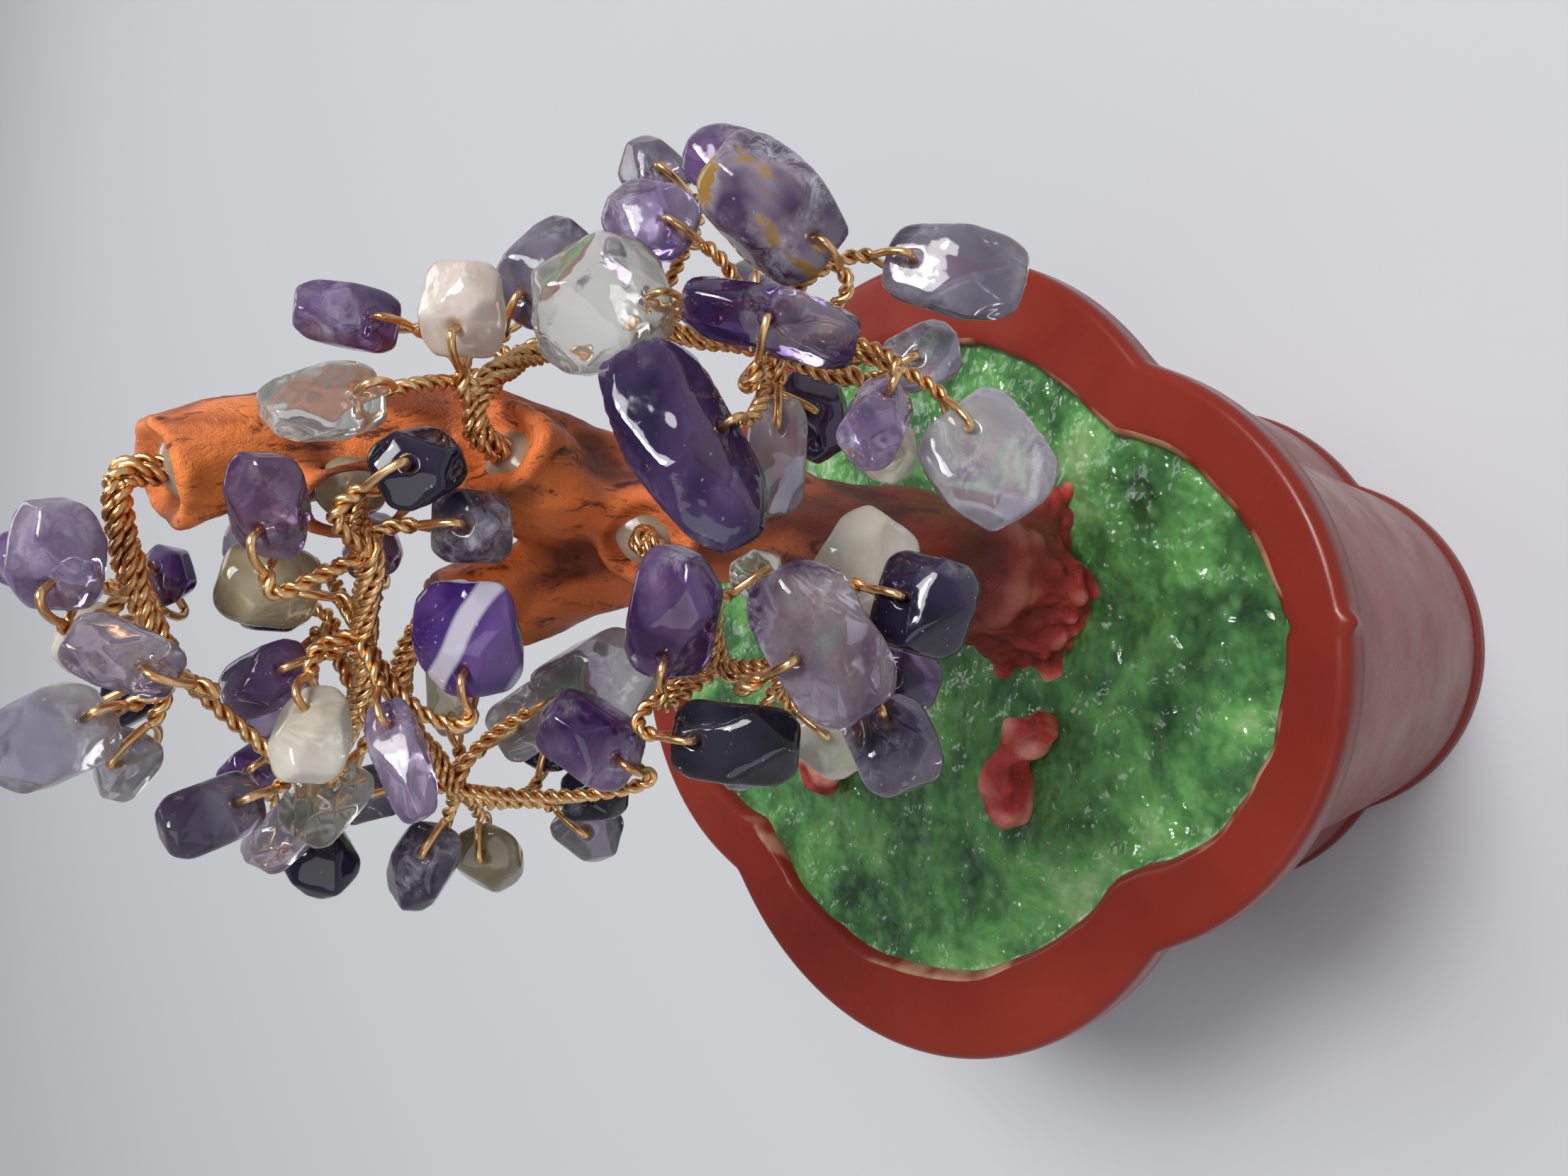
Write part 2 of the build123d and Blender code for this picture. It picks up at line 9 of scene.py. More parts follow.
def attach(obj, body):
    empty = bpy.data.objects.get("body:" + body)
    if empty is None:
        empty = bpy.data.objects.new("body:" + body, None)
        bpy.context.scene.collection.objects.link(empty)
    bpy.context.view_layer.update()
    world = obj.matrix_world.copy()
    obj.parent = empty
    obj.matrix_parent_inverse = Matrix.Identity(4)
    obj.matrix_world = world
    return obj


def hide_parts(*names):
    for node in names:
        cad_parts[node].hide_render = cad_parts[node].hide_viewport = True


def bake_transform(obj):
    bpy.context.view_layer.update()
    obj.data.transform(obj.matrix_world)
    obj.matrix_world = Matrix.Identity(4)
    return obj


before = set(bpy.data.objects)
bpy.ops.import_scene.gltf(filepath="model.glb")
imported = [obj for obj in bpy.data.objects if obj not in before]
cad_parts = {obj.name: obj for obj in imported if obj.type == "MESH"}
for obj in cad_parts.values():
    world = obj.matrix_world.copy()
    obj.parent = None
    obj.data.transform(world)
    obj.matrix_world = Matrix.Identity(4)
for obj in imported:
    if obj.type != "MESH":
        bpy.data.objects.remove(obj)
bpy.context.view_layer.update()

scene = bpy.context.scene
MM = 0.001

# Pot and filling, millimetres
POT_HALF = (50.0, 56.0)
LOBE_OFFSET = (9.0, 22.0)
LOBE_BLEND = 0.5
LOBE_ROUNDING = 0.5
POT_HEIGHT = 72.0
LIP_HEIGHT = 4.5
LIP_OVERHANG = 3.5
LIP_EDGE = 1.3
MOUTH_HALF = (39.5, 49.5)
MOUTH_OFFSET = (3.0, 25.0)
MOUTH_ROUNDING = 1.2
FOOT_SCALE = 0.81
FLOOR_THICKNESS = 5.0
CAVITY_FOOT_SCALE = 0.78
GROUND_TOP = 70.5
GROUND_THICKNESS = 8.0
TRUNK_FOOT = (9.0, -18.0)

# Wire and chips, millimetres
WIRE_RADIUS = 0.33
SOCKET_RADIUS = 2.7
SOCKET_DEPTH = 7.0
PLUG_DOME = 1.0
PLUG_PROUD = 0.05
PLUG_BELOW = 1.2
BEND_LEAD = 3.0
ROPE_STEP = 0.16
EYE_INSET = 2.2
LOOP_TAIL = 3.0
TWIST_END = 1.0
TWIST_PITCH = 2.5
TWIST_GAP = 0.98 * WIRE_RADIUS
LOOP_SIDE = 0.9
LOOP_POINTS = 46
NOSE_SHARE = 0.4
NOSE_REACH = 0.45
CORNER_CUT = 0.58
CORNER_SPREAD = 0.1
CORNER_PHASE = 2.4
FLAT_LEAN = 0.25
TWIG_BOW = 0.12
TWIG_LIFT = 1.3
TWIG_LEAST_POINTS = 24
TWIG_POINTS_PER_MM = 9
FRONT = np.array([0.0, -0.74, 0.67])

# Socket mouth, socket axis and forks of each branch: x and y from the pot's axis, height over the rim
BRANCHES = {
    "front": ((11, -22.5, 57.5), (-0.25, -0.80, 0.55),
              ((6.5, -28, 55.5), (0, -27.5, 53.5), (0.5, -33, 49.5))),
    "right": ((17, -20.5, 69.5), (0.35, -0.35, 0.87),
              ((22, -22, 72.5), (26.5, -19, 65), (28.5, -22, 57), (27, -29.5, 49))),
    "left": ((4.5, -12, 69), (-0.35, 0.15, 0.92), ((-3, -8, 72.5), (-10.5, -8.5, 67.5))),
    "middle": ((13.6, -16.7, 80.7), (-0.80, -0.58, 0.15),
               ((9, -21.5, 81.5), (3, -15, 79), (-2.5, -10, 77), (-8, -3, 76.5))),
    "top": ((15, -12.5, 92), (-0.30, 0, 0.95), ((6.5, -12, 94.5), (0.5, -12.5, 92))),
}

# Free chips: tint, eye of the bore, direction from the eye, (length, width, thickness), and the flats
# broken off the sides: (degrees from the length, depth)
FREE_CHIPS = {
    "front": {
        "violet_chip": ("violet", (1.5, -30, 61), (0.9, -0.4, 0.1), (10.5, 7, 5), ((-48, 2.2), (62, 0.8))),
        "black_chip": ("black", (-5.5, -30.5, 58.5), (-0.1, -0.7, -0.7), (10.5, 6.5, 5),
            ((151, 1.3), (-114, 1.3), (40, 0.8))),
        "lavender_chip": ("veiled", (1, -39, 55.5), (0.5, -0.6, -0.6), (8.5, 13, 5.5),
            ((-60, 1.6), (44, 2.4))),
        "white_chip": ("milky", (5.5, -32.5, 44.5), (0.8, -0.4, -0.4), (10.5, 8, 4.5),
            ((-35, 1.4), (65, 1))),
        "indigo_cube": ("indigo", (5.5, -41, 46), (-0.3, -0.7, -0.7), (8, 8, 6.5)),
        "smoky_chip": ("smoky", (-4.5, -39, 46), (-0.9, -0.4, -0.1), (8, 7, 5), ((-51, 1.2), (70, 0.8))),
    },
    "right": {
        "clear_slab": ("clear", (29.5, -27, 61), (-0.1, 0.3, 0.9), (11, 11, 5.5), ((-58, 3.2), (122, 3.2))),
        "slate_chip": ("smoky", (31.5, -15, 64.5), (0.8, -0.3, -0.4), (10, 6.5, 5),
            ((142, 1.2), (-40, 1.4))),
        "flat_chip": ("violet", (40.5, -31.5, 50.5), (0.4, 0.7, 0.5), (10.5, 6, 3.5),
            ((-44, 1.2), (60, 0.8))),
        "matrix_chip": ("crusted", (33.5, -38, 53), (0.6, 0.3, 0.7), (12, 8.5, 6.5),
            ((-105, 2), (155, 1.5), (35, 1.6))),
        "crystal": ("crystal", (26.5, -37, 56.5), (0.95, -0.1, -0.25), (5, 14, 4.5), ((125, 1.2), (45, 1))),
        "large_chip": ("purple", (17.5, -36, 61.5), (-0.4, 0.1, 0.9), (8.5, 17, 5.5),
            ((135, 2.6), (40, 2.4), (-119, 2))),
        "small_chip": ("lilac", (20.5, -42.5, 49.5), (-0.8, -0.1, 0.6), (8.5, 5, 4),
            ((-95, 1), (-25, 1.2))),
        "milky_chip": ("cloudy", (19, -44, 41.5), (-0.8, -0.3, -0.5), (10.5, 9.5, 5.5),
            ((40, 1.6), (-70, 2.2))),
        "bent_chip": ("smoky", (32.5, -41.5, 45), (-0.2, -0.7, -0.7), (11.5, 7, 5),
            ((161, 1.3), (46, 1.4), (-70, 0.9))),
        "teardrop_chip": ("clear", (19.5, -24, 84), (-0.3, 0, 0.95), (8.5, 5, 4), ((-143, 0.9), (60, 0.8))),
        "quartz_chip": ("peach", (25.5, -25, 76), (0.9, -0.2, 0.1), (7, 6, 5)),
    },
    "left": {
        "purple_chip": ("violet", (-7, -22, 60.5), (0.5, 0.2, 0.8), (9, 6.5, 5), ((-85, 1.2), (25, 1.2))),
        "grey_chip": ("cloudy", (-2.5, -15.5, 61), (0.4, -0.6, -0.7), (10, 8, 5.5),
            ((96, 1.4), (-64, 1.2))),
        "olive_chip": ("olive", (-17, 0, 60), (-0.8, 0.4, -0.4), (8, 6.5, 4.5), ((50, 1.2),)),
        "round_chip": ("smoky", (-16, -3, 67), (-0.8, 0.6, 0.1), (9, 5.5, 4.5), ((-55, 1),)),
    },
    "middle": {
        "white_chip": ("milky", (-3, -16, 83.5), (-0.85, -0.5, 0.2), (7.5, 5.5, 4)),
        "crescent_chip": ("lilac", (-4, -19, 78.5), (-0.9, -0.4, -0.1), (9.5, 4, 3.5), ((-61, 1),)),
        "dark_chip": ("indigo", (-15.5, 6, 75), (-0.8, -0.1, -0.6), (8, 6, 4.5), ((40, 1.3), (-75, 0.8))),
        "olive_bead": ("olive", (6.5, -12, 83.5), (0.2, 0.3, 0.95), (7.5, 6.5, 6)),
        "rose_chip": ("rose", (10.5, -20.5, 88.5), (0.9, -0.3, 0.1), (7.5, 5.5, 4), ((48, 0.8),)),
        "stub_chip": ("smoky", (11, -23, 75), (0, -0.4, -0.9), (6, 5.5, 4.5), ((-50, 0.9),)),
        "banded_chip": ("banded", (0.3, -21.5, 73.5), (0.9, -0.1, 0.1), (9, 8, 5), ((125, 2.2), (50, 1.4))),
    },
    "top": {
        "pale_chip": ("cloudy", (-3, -12, 98), (-0.3, -0.1, 0.9), (8.5, 6.5, 4), ((-77, 1.4), (40, 1.3))),
        "lilac_chip": ("veiled", (1, -16.5, 95), (0.4, 0.3, 0.85), (7.5, 4.5, 4), ((-40, 0.9),)),
        "tip_chip": ("violet", (8, -7, 99.5), (0.3, 0.5, 0.8), (5.5, 4, 3.5), ((40, 0.8),)),
        "square_chip": ("lilac", (7, -12.5, 99.5), (0.9, -0.3, 0.2), (7.5, 6, 4)),
        "hanging_chip": ("smoky", (-9.5, -13, 88), (-0.3, 0, 0.95), (7.5, 5, 4), ((55, 0.9),)),
    },
}

# Wedged chips, in the same way
INNER_CHIPS = {
    "front": (
        ("milky", (-5.5, -31, 45.5), (-0.6, -0.2, -0.8), (7, 6, 4)),
        ("smoky", (-6.5, -26, 49.5), (-0.8, 0.5, 0.1), (6.5, 5, 4)),
        ("clear", (7.5, -26, 48.5), (0.4, 0.1, -0.9), (5.5, 4.5, 3.5)),
        ("violet", (-1, -35.5, 41.5), (-0.2, -0.6, -0.8), (6.5, 5, 4)),
    ),
    "right": (
        ("lilac", (36.5, -26, 57.5), (0.5, 0.7, 0.5), (8, 6.5, 4)),
        ("smoky", (43, -20.5, 54), (0.6, 0.7, 0.4), (6.5, 5, 4)),
        ("cloudy", (20, -32.5, 51.5), (-0.9, 0.3, -0.2), (10, 5, 4)),
        ("cloudy", (32.5, -26, 48), (0.7, 0.5, -0.5), (6.5, 5.5, 4)),
        ("purple", (22.5, -28.5, 45.5), (-0.3, 0.1, -0.9), (8, 7, 5)),
        ("cloudy", (26, -36.5, 39.5), (0.4, -0.5, -0.8), (6.5, 5.5, 4)),
        ("milky", (18.5, -36, 42), (-0.8, 0.3, -0.4), (5.5, 4.5, 3.5)),
        ("violet", (27.7, -14, 78), (0.1, 0.3, 0.95), (8, 5, 4)),
    ),
    "left": (
        ("milky", (-4, -5, 66), (0.9, -0.1, 0.2), (8.5, 4, 3.5)),
        ("cloudy", (-5.5, -9, 62), (0.5, -0.3, -0.8), (7.5, 6, 4.5)),
        ("smoky", (-15.5, -4, 52), (-0.5, 0, -0.85), (7, 5.5, 4.5)),
        ("indigo", (-12, -9.5, 55), (0.1, -0.4, -0.9), (6, 5, 4)),
        ("indigo", (-8, -5, 56), (0.8, 0.2, -0.5), (8, 5.5, 4.5)),
        ("smoky", (-11, -1, 71.5), (-0.2, 0.9, 0.3), (6.5, 5, 4)),
    ),
    "middle": (
        ("clear", (-9, -10, 79), (-0.8, 0.3, 0.5), (7, 5.5, 4)),
        ("veiled", (-12.5, -2.5, 79), (-0.7, 0.5, 0.5), (7.5, 4.5, 4)),
        ("violet", (-8.5, 0, 81.5), (-0.6, 0.4, 0.6), (5.5, 4.5, 3.5)),
        ("lilac", (0, -5, 80.5), (-0.8, 0.5, 0.3), (8.5, 5, 4)),
        ("violet", (0, -9.5, 83), (-0.4, 0.4, 0.8), (7, 5, 4)),
        ("indigo", (14.5, -25, 80.5), (0.45, -0.2, -0.87), (6.5, 5.5, 4)),
        ("rose", (9.5, -8, 75), (0.7, 0.6, -0.2), (6.5, 4.5, 3.5)),
        ("smoky", (10, -4.5, 82.5), (0.3, 0.5, 0.8), (5.5, 4.5, 4)),
        ("indigo", (5.5, -2.5, 81), (0.1, 0.8, 0.6), (5.5, 4.5, 4)),
    ),
    "top": (
        ("milky", (3, -7.5, 96), (-0.4, 0.7, 0.6), (5, 4.5, 3.5)),
        ("cloudy", (-6, -9, 94), (-0.8, 0.5, 0.3), (5, 4, 3.5)),
        ("indigo", (-1.5, -5.5, 93), (-0.4, 0.9, 0.2), (5, 4, 3.5)),
        ("violet", (7, -7, 91), (0.6, 0.7, -0.3), (5.5, 4, 3.5)),
    ),
}


def unit(v):
    v = np.asarray(v, float)
    return v / np.linalg.norm(v, axis=-1, keepdims=True)


def circle(count):
    """Angles of evenly spaced points round a circle."""
    return np.linspace(0, 2 * np.pi, count, endpoint=False)


def around(side, other, turn):
    """Unit vectors at given angles from one side towards another."""
    return side * np.cos(turn) + other * np.sin(turn)


def tree_point(place):
    """A place in the tree, whose height is counted from the rim's top, with its height from the foot."""
    return np.array(place, float) + (0.0, 0.0, POT_HEIGHT)


LATTICE_PRIMES = (73856093, 19349663, 83492791)
SCRAMBLE = 1274126177
HASH_SHIFT = 13
HASH_MASK = 0xFFFF
SEED_STEP = 17.31


def lumps(points, scale, seed=0.0):
    """Smooth noise from -1 to 1.

    Random values on a cubic lattice of the given spacing, blended by s*s*(3-2s).
    """
    q = np.asarray(points) / scale + seed * SEED_STEP
    cell = np.floor(q).astype(np.int64)
    s = q - cell
    s = s * s * (3 - 2 * s)
    total = 0.0
    for corner in np.ndindex(2, 2, 2):
        x, y, z = np.moveaxis((cell + corner) * LATTICE_PRIMES, -1, 0)
        h = x ^ y ^ z
        h = ((h ^ (h >> HASH_SHIFT)) * SCRAMBLE) & HASH_MASK
        share = np.prod(np.abs(1 - np.array(corner) - s), axis=-1)
        total = total + share * (2 * h / HASH_MASK - 1)
    return total


def shown(name, data):
    """A new object in the scene."""
    made = bpy.data.objects.new(name, data)
    scene.collection.objects.link(made)
    return made


WELD = 1e-7


def surface(name, grids, finishes):
    """One smooth object from grids of points in millimetres, each closed round its second way.

    Neighbours in a grid make quads; a row that is drawn to one point becomes a closed pole.
    """
    points, quads, tints = [], [], []
    base = 0
    for k, grid in enumerate(grids):
        rows, cols = grid.shape[:2]
        index = base + np.arange(rows * cols).reshape(rows, cols)
        beside = np.roll(index, -1, axis=1)
        quads.append(np.stack([index[:-1], beside[:-1], beside[1:], index[1:]], -1).reshape(-1, 4))
        tints.append(np.full(len(quads[-1]), k % len(finishes)))
        points.append(grid.reshape(-1, 3))
        base += rows * cols
    points = np.concatenate(points) * MM
    quads = np.concatenate(quads)
    mesh = bpy.data.meshes.new(name)
    mesh.from_pydata(points, [], quads)
    for finish in finishes:
        mesh.materials.append(finish)
    mesh.polygons.foreach_set("material_index", np.concatenate(tints).astype(np.int32))
    bm = bmesh.new()
    bm.from_mesh(mesh)
    bmesh.ops.remove_doubles(bm, verts=bm.verts, dist=WELD)
    bmesh.ops.recalc_face_normals(bm, faces=bm.faces)
    bm.to_mesh(mesh)
    bm.free()
    mesh.polygons.foreach_set("use_smooth", np.ones(len(mesh.polygons), bool))
    mesh.update()
    return shown(name, mesh)


def capped(grid):
    """A tube's grid with a closing point before its first ring and after its last."""
    first = np.broadcast_to(grid[:1].mean(1, keepdims=True), grid[:1].shape)
    last = np.broadcast_to(grid[-1:].mean(1, keepdims=True), grid[-1:].shape)
    return np.concatenate([first, grid, last])


def tangents(path):
    return unit(np.gradient(path, axis=0))


def wire(path, towards, radius=WIRE_RADIUS, sides=7):
    """A round wire: rings square to the path, whose first spoke leans towards a given side."""
    along = tangents(path)
    spoke = unit(towards - np.sum(towards * along, 1, keepdims=True) * along)
    other = np.cross(along, spoke)
    turn = circle(sides)[None, :, None]
    return capped(path[:, None] + around(spoke[:, None], other[:, None], turn) * radius)


def carried(path, first):
    """Side vectors along a path, each the one before it with the part along the path taken out."""
    along = tangents(path)
    sides = [unit(first - (first @ along[0]) * along[0])]
    for t in along[1:]:
        sides.append(unit(sides[-1] - (sides[-1] @ t) * t))
    return np.array(sides)


def through(points, step):
    """A smooth line through points (Catmull-Rom).

    On each span it is a cubic whose end slopes are half the chord across.
    """
    p = np.array(points, float)
    p = np.concatenate([2 * p[:1] - p[1:2], p, 2 * p[-1:] - p[-2:-1]])
    line = []
    for a, b, c, d in zip(p, p[1:], p[2:], p[3:]):
        t = np.linspace(0, 1, max(3, int(np.linalg.norm(c - b) / step)), endpoint=False)[:, None]
        square = 2 * a - 5 * b + 4 * c - d
        cube = 3 * b - a - 3 * c + d
        line.append(0.5 * (2 * b + (c - a) * t + square * t**2 + cube * t**3))
    return np.concatenate(line + [p[-2:-1]])


def inverse(spans):
    """One over each span, as a column, and nothing where a span is empty."""
    return np.where(spans > 0, 1 / np.where(spans > 0, spans, 1), 0)[:, None]


def drawn(points, count):
    """A quadratic B-spline with closed ends, evaluated by de Boor's basis on even knots."""
    p = np.array(points, float)
    n = len(p)
    knots = np.concatenate([[0, 0], np.arange(n - 1), [n - 2, n - 2]]).astype(float)
    t = np.linspace(0, n - 2 - 1e-9, count)
    basis = ((knots[:-1, None] <= t) & (t < knots[1:, None])).astype(float)
    for degree in (1, 2):
        rising = inverse(knots[degree:-1] - knots[:-degree - 1]) * (t - knots[:-degree - 1, None])
        falling = inverse(knots[degree + 1:] - knots[1:-degree]) * (knots[degree + 1:, None] - t)
        basis = rising * basis[:-1] + falling * basis[1:]
    return basis.T @ p


def run_along(line):
    """Distance along a line at each of its points."""
    return np.concatenate([[0], np.cumsum(np.linalg.norm(np.diff(line, axis=0), axis=1))])


class Chip:
    """A drilled chip's own axes: x along it from its eye, z along its bore."""

    def __init__(self, tint, eye, reach, size, flats=()):
        self.tint, self.size, self.flats = tint, size, flats
        self.phase = sum(eye)
        self.eye = tree_point(eye)
        x = unit(reach)
        y = unit(np.cross(FRONT, x))
        self.axes = np.stack([x, y, np.cross(x, y)])

    def out(self, local):
        """From the chip's own axes to the object's."""
        return np.asarray(local) @ self.axes + self.eye

    def planes(self):
        """Normals and distances of the chip's flat sides, about its middle."""
        length, width, thick = self.size
        middle = np.array([length / 2 - EYE_INSET, 0, 0])
        nose = NOSE_SHARE * thick / 2
        full = -EYE_INSET + NOSE_REACH * length
        normals = [(1, 0, 0), (-1, 0, 0), (0, 1, 0), (0, -1, 0), (0, 0, 1), (0, 0, -1)]
        places = [(length - EYE_INSET, 0, 0), (-EYE_INSET, 0, 0), (0, width / 2, 0), (0, -width / 2, 0),
                  (0, 0, thick / 2), (0, 0, -thick / 2)]
        for side in (1, -1):
            normals.append((nose - thick / 2, 0, side * NOSE_REACH * length))
            places.append((full, 0, side * thick / 2))
        for corner in range(8):
            sign = np.array([1 if corner & bit else -1 for bit in (1, 2, 4)])
            cut = CORNER_CUT + CORNER_SPREAD * math.sin(self.phase + CORNER_PHASE * corner)
            normals.append(sign / np.array(self.size))
            places.append(middle + sign * np.array(self.size) * cut / 2)
        for side, (degrees, depth) in enumerate(self.flats):
            lean = -FLAT_LEAN if side % 2 else FLAT_LEAN
            normal = np.array([math.cos(math.radians(degrees)), math.sin(math.radians(degrees)), lean])
            reach = np.abs(normal) @ np.array(self.size) / 2
            normals.append(normal)
            places.append(middle + normal * (reach - depth) / (normal @ normal))
        normals = unit(np.array(normals, float))
        return normals, np.sum(normals * (np.array(places, float) - middle), 1), middle

    def half_thickness(self):
        length, _, thick = self.size
        nose = NOSE_SHARE * thick / 2
        return nose + (thick / 2 - nose) * min(EYE_INSET / (NOSE_REACH * length), 1.0)


# A chip's worn hollows: spacing in millimetres and depth as a share of the radius; pit at each bore mouth
WIDE_HOLLOW = 3.4
WIDE_DEPTH = 0.06
FINE_HOLLOW = 1.5
FINE_DEPTH = 0.02
PIT_RADIUS = 0.55
PIT_DEPTH = 0.30


def stone(chip, softness, rows=40, cols=56):
    """A tumbled chip: its radius in each direction u is the soft minimum of its planes' distances.

    r(u) = (sum of (n.u / d)^p)^(-1/p) over the planes that u meets, less shallow hollows and a pit at
    each bore mouth.
    """
    normals, reach, middle = chip.planes()
    polar = np.linspace(0, np.pi, rows)[:, None]
    turn = circle(cols)[None]
    across = np.sin(polar)
    u = np.stack([np.cos(polar) + 0 * turn, across * np.cos(turn), across * np.sin(turn)], -1)
    meets = np.maximum(u @ (normals / reach[:, None]).T, 0)
    radius = np.sum(meets**softness, -1) ** (-1 / softness)
    points = u * radius[..., None]
    wide = np.maximum(lumps(points, WIDE_HOLLOW, chip.phase), 0) * WIDE_DEPTH
    fine = np.maximum(lumps(points, FINE_HOLLOW, chip.phase + 3), 0) * FINE_DEPTH
    points = points * (1 - wide - fine)[..., None] + middle
    off_bore = np.hypot(points[..., 0], points[..., 1])
    points[..., 2] *= 1 - PIT_DEPTH * np.exp(-((off_bore / PIT_RADIUS) ** 4))
    return chip.out(points)


def twig_line(chip, forks):
    """Middle line of a twisted pair, from the nearest fork to where its two wires part at the chip."""
    end = chip.out((-(EYE_INSET + LOOP_TAIL), 0, 0))
    parting = chip.out((-(EYE_INSET + TWIST_END), 0, 0))
    fork = min(forks, key=lambda place: np.linalg.norm(place - end))
    span = np.linalg.norm(end - fork)
    bow = TWIG_BOW * span
    corner = (fork + end) / 2 + (0, 0, TWIG_LIFT * bow) - chip.axes[0] * bow
    count = max(TWIG_LEAST_POINTS, int((span + LOOP_TAIL) * TWIG_POINTS_PER_MM))
    return drawn([fork, corner, end, parting], count)


def twisted_wire(chip, forks):
    """One wire: out along the twist as a helix, through the bore as a loop, and back half a turn on."""
    line = twig_line(chip, forks)
    side = carried(line[::-1], chip.axes[2])[::-1]
    other = np.cross(tangents(line), side)
    run = run_along(line)
    turn = ((run - run[-1]) / TWIST_PITCH * 2 * np.pi)[:, None]
    spoke = around(side, other, turn)
    tail = -(EYE_INSET + TWIST_END)
    reach = chip.half_thickness() + LOOP_SIDE
    # Control points of one half of the loop, from where the wires part to the bore
    half = [(tail, 0, TWIST_GAP), (tail * 0.7, 0, reach * 0.8),
            (-0.5, 0, reach * 1.12), (0, 0, reach * 0.7)]
    loop = drawn(half + [(x, y, -z) for x, y, z in half[::-1]], LOOP_POINTS)
    loop = chip.out(loop)[1:-1]
    inward = np.cross(chip.axes[1], tangents(loop))
    path = np.concatenate([line + spoke * TWIST_GAP, loop, (line - spoke * TWIST_GAP)[::-1]])
    towards = np.concatenate([-spoke, inward, spoke[::-1]])
    return wire(path, towards)


# Ropes, millimetres and radians
ROPE_PAIRS = 4
ROPE_LAY = 15.0
ROPE_WIRE = 0.3
ROPE_SIDE = np.array([0.3, 1.0, 0.2])
ROPE_THINNING = 0.35
PAIR_RING = 0.62
PAIR_GAP = 0.29
PAIR_PHASE = 1.3
WANDER = 0.14
WANDER_RATE = 0.9


def rope_strands(line, start, stop):
    """Wires of a rope: pairs on a ring that turns slowly along the line, each pair twisted on itself.

    The ring is drawn in along the line, as pairs leave the rope at its forks.
    """
    side = carried(line, ROPE_SIDE)
    other = np.cross(tangents(line), side)
    run = run_along(line)
    ring = PAIR_RING * (1 - ROPE_THINNING * np.clip((run - BEND_LEAD - SOCKET_DEPTH) / run[-1], 0, 1))
    wander = 1 + WANDER * np.sin(run * WANDER_RATE)
    grids = []
    for pair in range(ROPE_PAIRS):
        turn = (run / ROPE_LAY * 2 * np.pi + pair * 2 * np.pi / ROPE_PAIRS)[:, None]
        spoke = around(side, other, turn)
        middle = line + spoke * (ring * wander)[:, None]
        cross = np.cross(tangents(line), spoke)
        for half in (0, np.pi):
            spin = (run / TWIST_PITCH * 2 * np.pi + half + pair * PAIR_PHASE)[:, None]
            lean = around(spoke, cross, spin)
            path = middle + lean * PAIR_GAP
            grids.append(wire(path[start:stop], -lean[start:stop], ROPE_WIRE))
    return grids


def lobed(half, offset, angle, round_by):
    """Radius of an outline of four round lobes.

    It is the soft maximum, over the lobes, of where a ray leaves each lobe's circle.
    """
    reach = []
    for way in (0, 1):
        for sign in (1, -1):
            centre = np.zeros(2)
            centre[way] = sign * offset[way]
            along = centre[0] * np.cos(angle) + centre[1] * np.sin(angle)
            inside = np.maximum(along**2 - offset[way] ** 2 + (half[way] - offset[way]) ** 2, 0)
            reach.append(along + np.sqrt(inside))
    reach = np.array(reach)
    top = np.max(reach, 0)
    return top + LOBE_BLEND * round_by * np.log(np.sum(np.exp((reach - top) / round_by), 0))


def lobed_ring(half, offset, inset, share, height, angle, round_by):
    radius = lobed((half[0] - inset, half[1] - inset), offset, angle, round_by) * share
    return np.stack([radius * np.cos(angle), radius * np.sin(angle), np.full_like(angle, height)], -1)


LIMB_STEP = 0.8
LIMB_SIDE = np.array([1.0, 0.2, 0.1])
LIMB_SHARE = 0.96
RIDGE_LEAN = 5
RIDGE = 0.045
FINE_RIDGE_LEAN = 1.7
FINE_RIDGE = 0.03


def limb_tube(points, radii, ridges, seed, cols=64):
    """A gnarled limb: rings along a smooth line, ridged by sines round it that lean along it."""
    line = through(points, LIMB_STEP)
    stations = np.linspace(0, 1, len(points))
    share = np.linspace(0, 1, len(line))
    radius = np.interp(share, stations, radii)
    side = carried(line, LIMB_SIDE)
    other = np.cross(tangents(line), side)
    turn = circle(cols)
    lean = share[:, None] * RIDGE_LEAN + seed
    ridge = np.sin(ridges * turn + lean) * RIDGE
    ridge = ridge + np.sin((ridges + 2) * turn - FINE_RIDGE_LEAN * lean + seed) * FINE_RIDGE
    ring = around(side[:, None], other[:, None], turn[None, :, None])
    return capped(line[:, None] + ring * (radius[:, None] * (LIMB_SHARE + ridge))[..., None])


RELIEF = "relief"


def sculpted(piece, voxel, relief):
    """The piece's grids joined into one skin of even cells, then pushed along its normals by noise.

    The push, in millimetres, stays on the points, so that the paint can carry painted shade in the hollows
    and a painted highlight on the knobs.
    """
    skin = piece.modifiers.new("skin", "REMESH")
    skin.mode = "VOXEL"
    skin.voxel_size = voxel * MM
    skin.use_smooth_shade = True
    smooth = piece.modifiers.new("ease", "SMOOTH")
    smooth.factor = 0.5
    smooth.iterations = 4
    ready = piece.evaluated_get(bpy.context.evaluated_depsgraph_get())
    mesh = bpy.data.meshes.new_from_object(ready)
    count = len(mesh.vertices)
    points = np.empty(count * 3)
    normals = np.empty(count * 3)
    mesh.vertices.foreach_get("co", points)
    mesh.vertices.foreach_get("normal", normals)
    points = points.reshape(-1, 3) / MM
    height = relief(points)
    points = points + normals.reshape(-1, 3) * height[:, None]
    mesh.vertices.foreach_set("co", (points * MM).ravel())
    kept = mesh.attributes.new(RELIEF, "FLOAT", "POINT")
    kept.data.foreach_set("value", height.astype(np.float32))
    mesh.update()
    piece.modifiers.clear()
    old = piece.data
    piece.data = mesh
    bpy.data.meshes.remove(old)
    return piece


# Finishes

def put(socket, value):
    """Gives a socket a plain value, or a link from another socket."""
    if isinstance(value, bpy.types.NodeSocket):
        socket.id_data.links.new(value, socket)
    else:
        socket.default_value = value


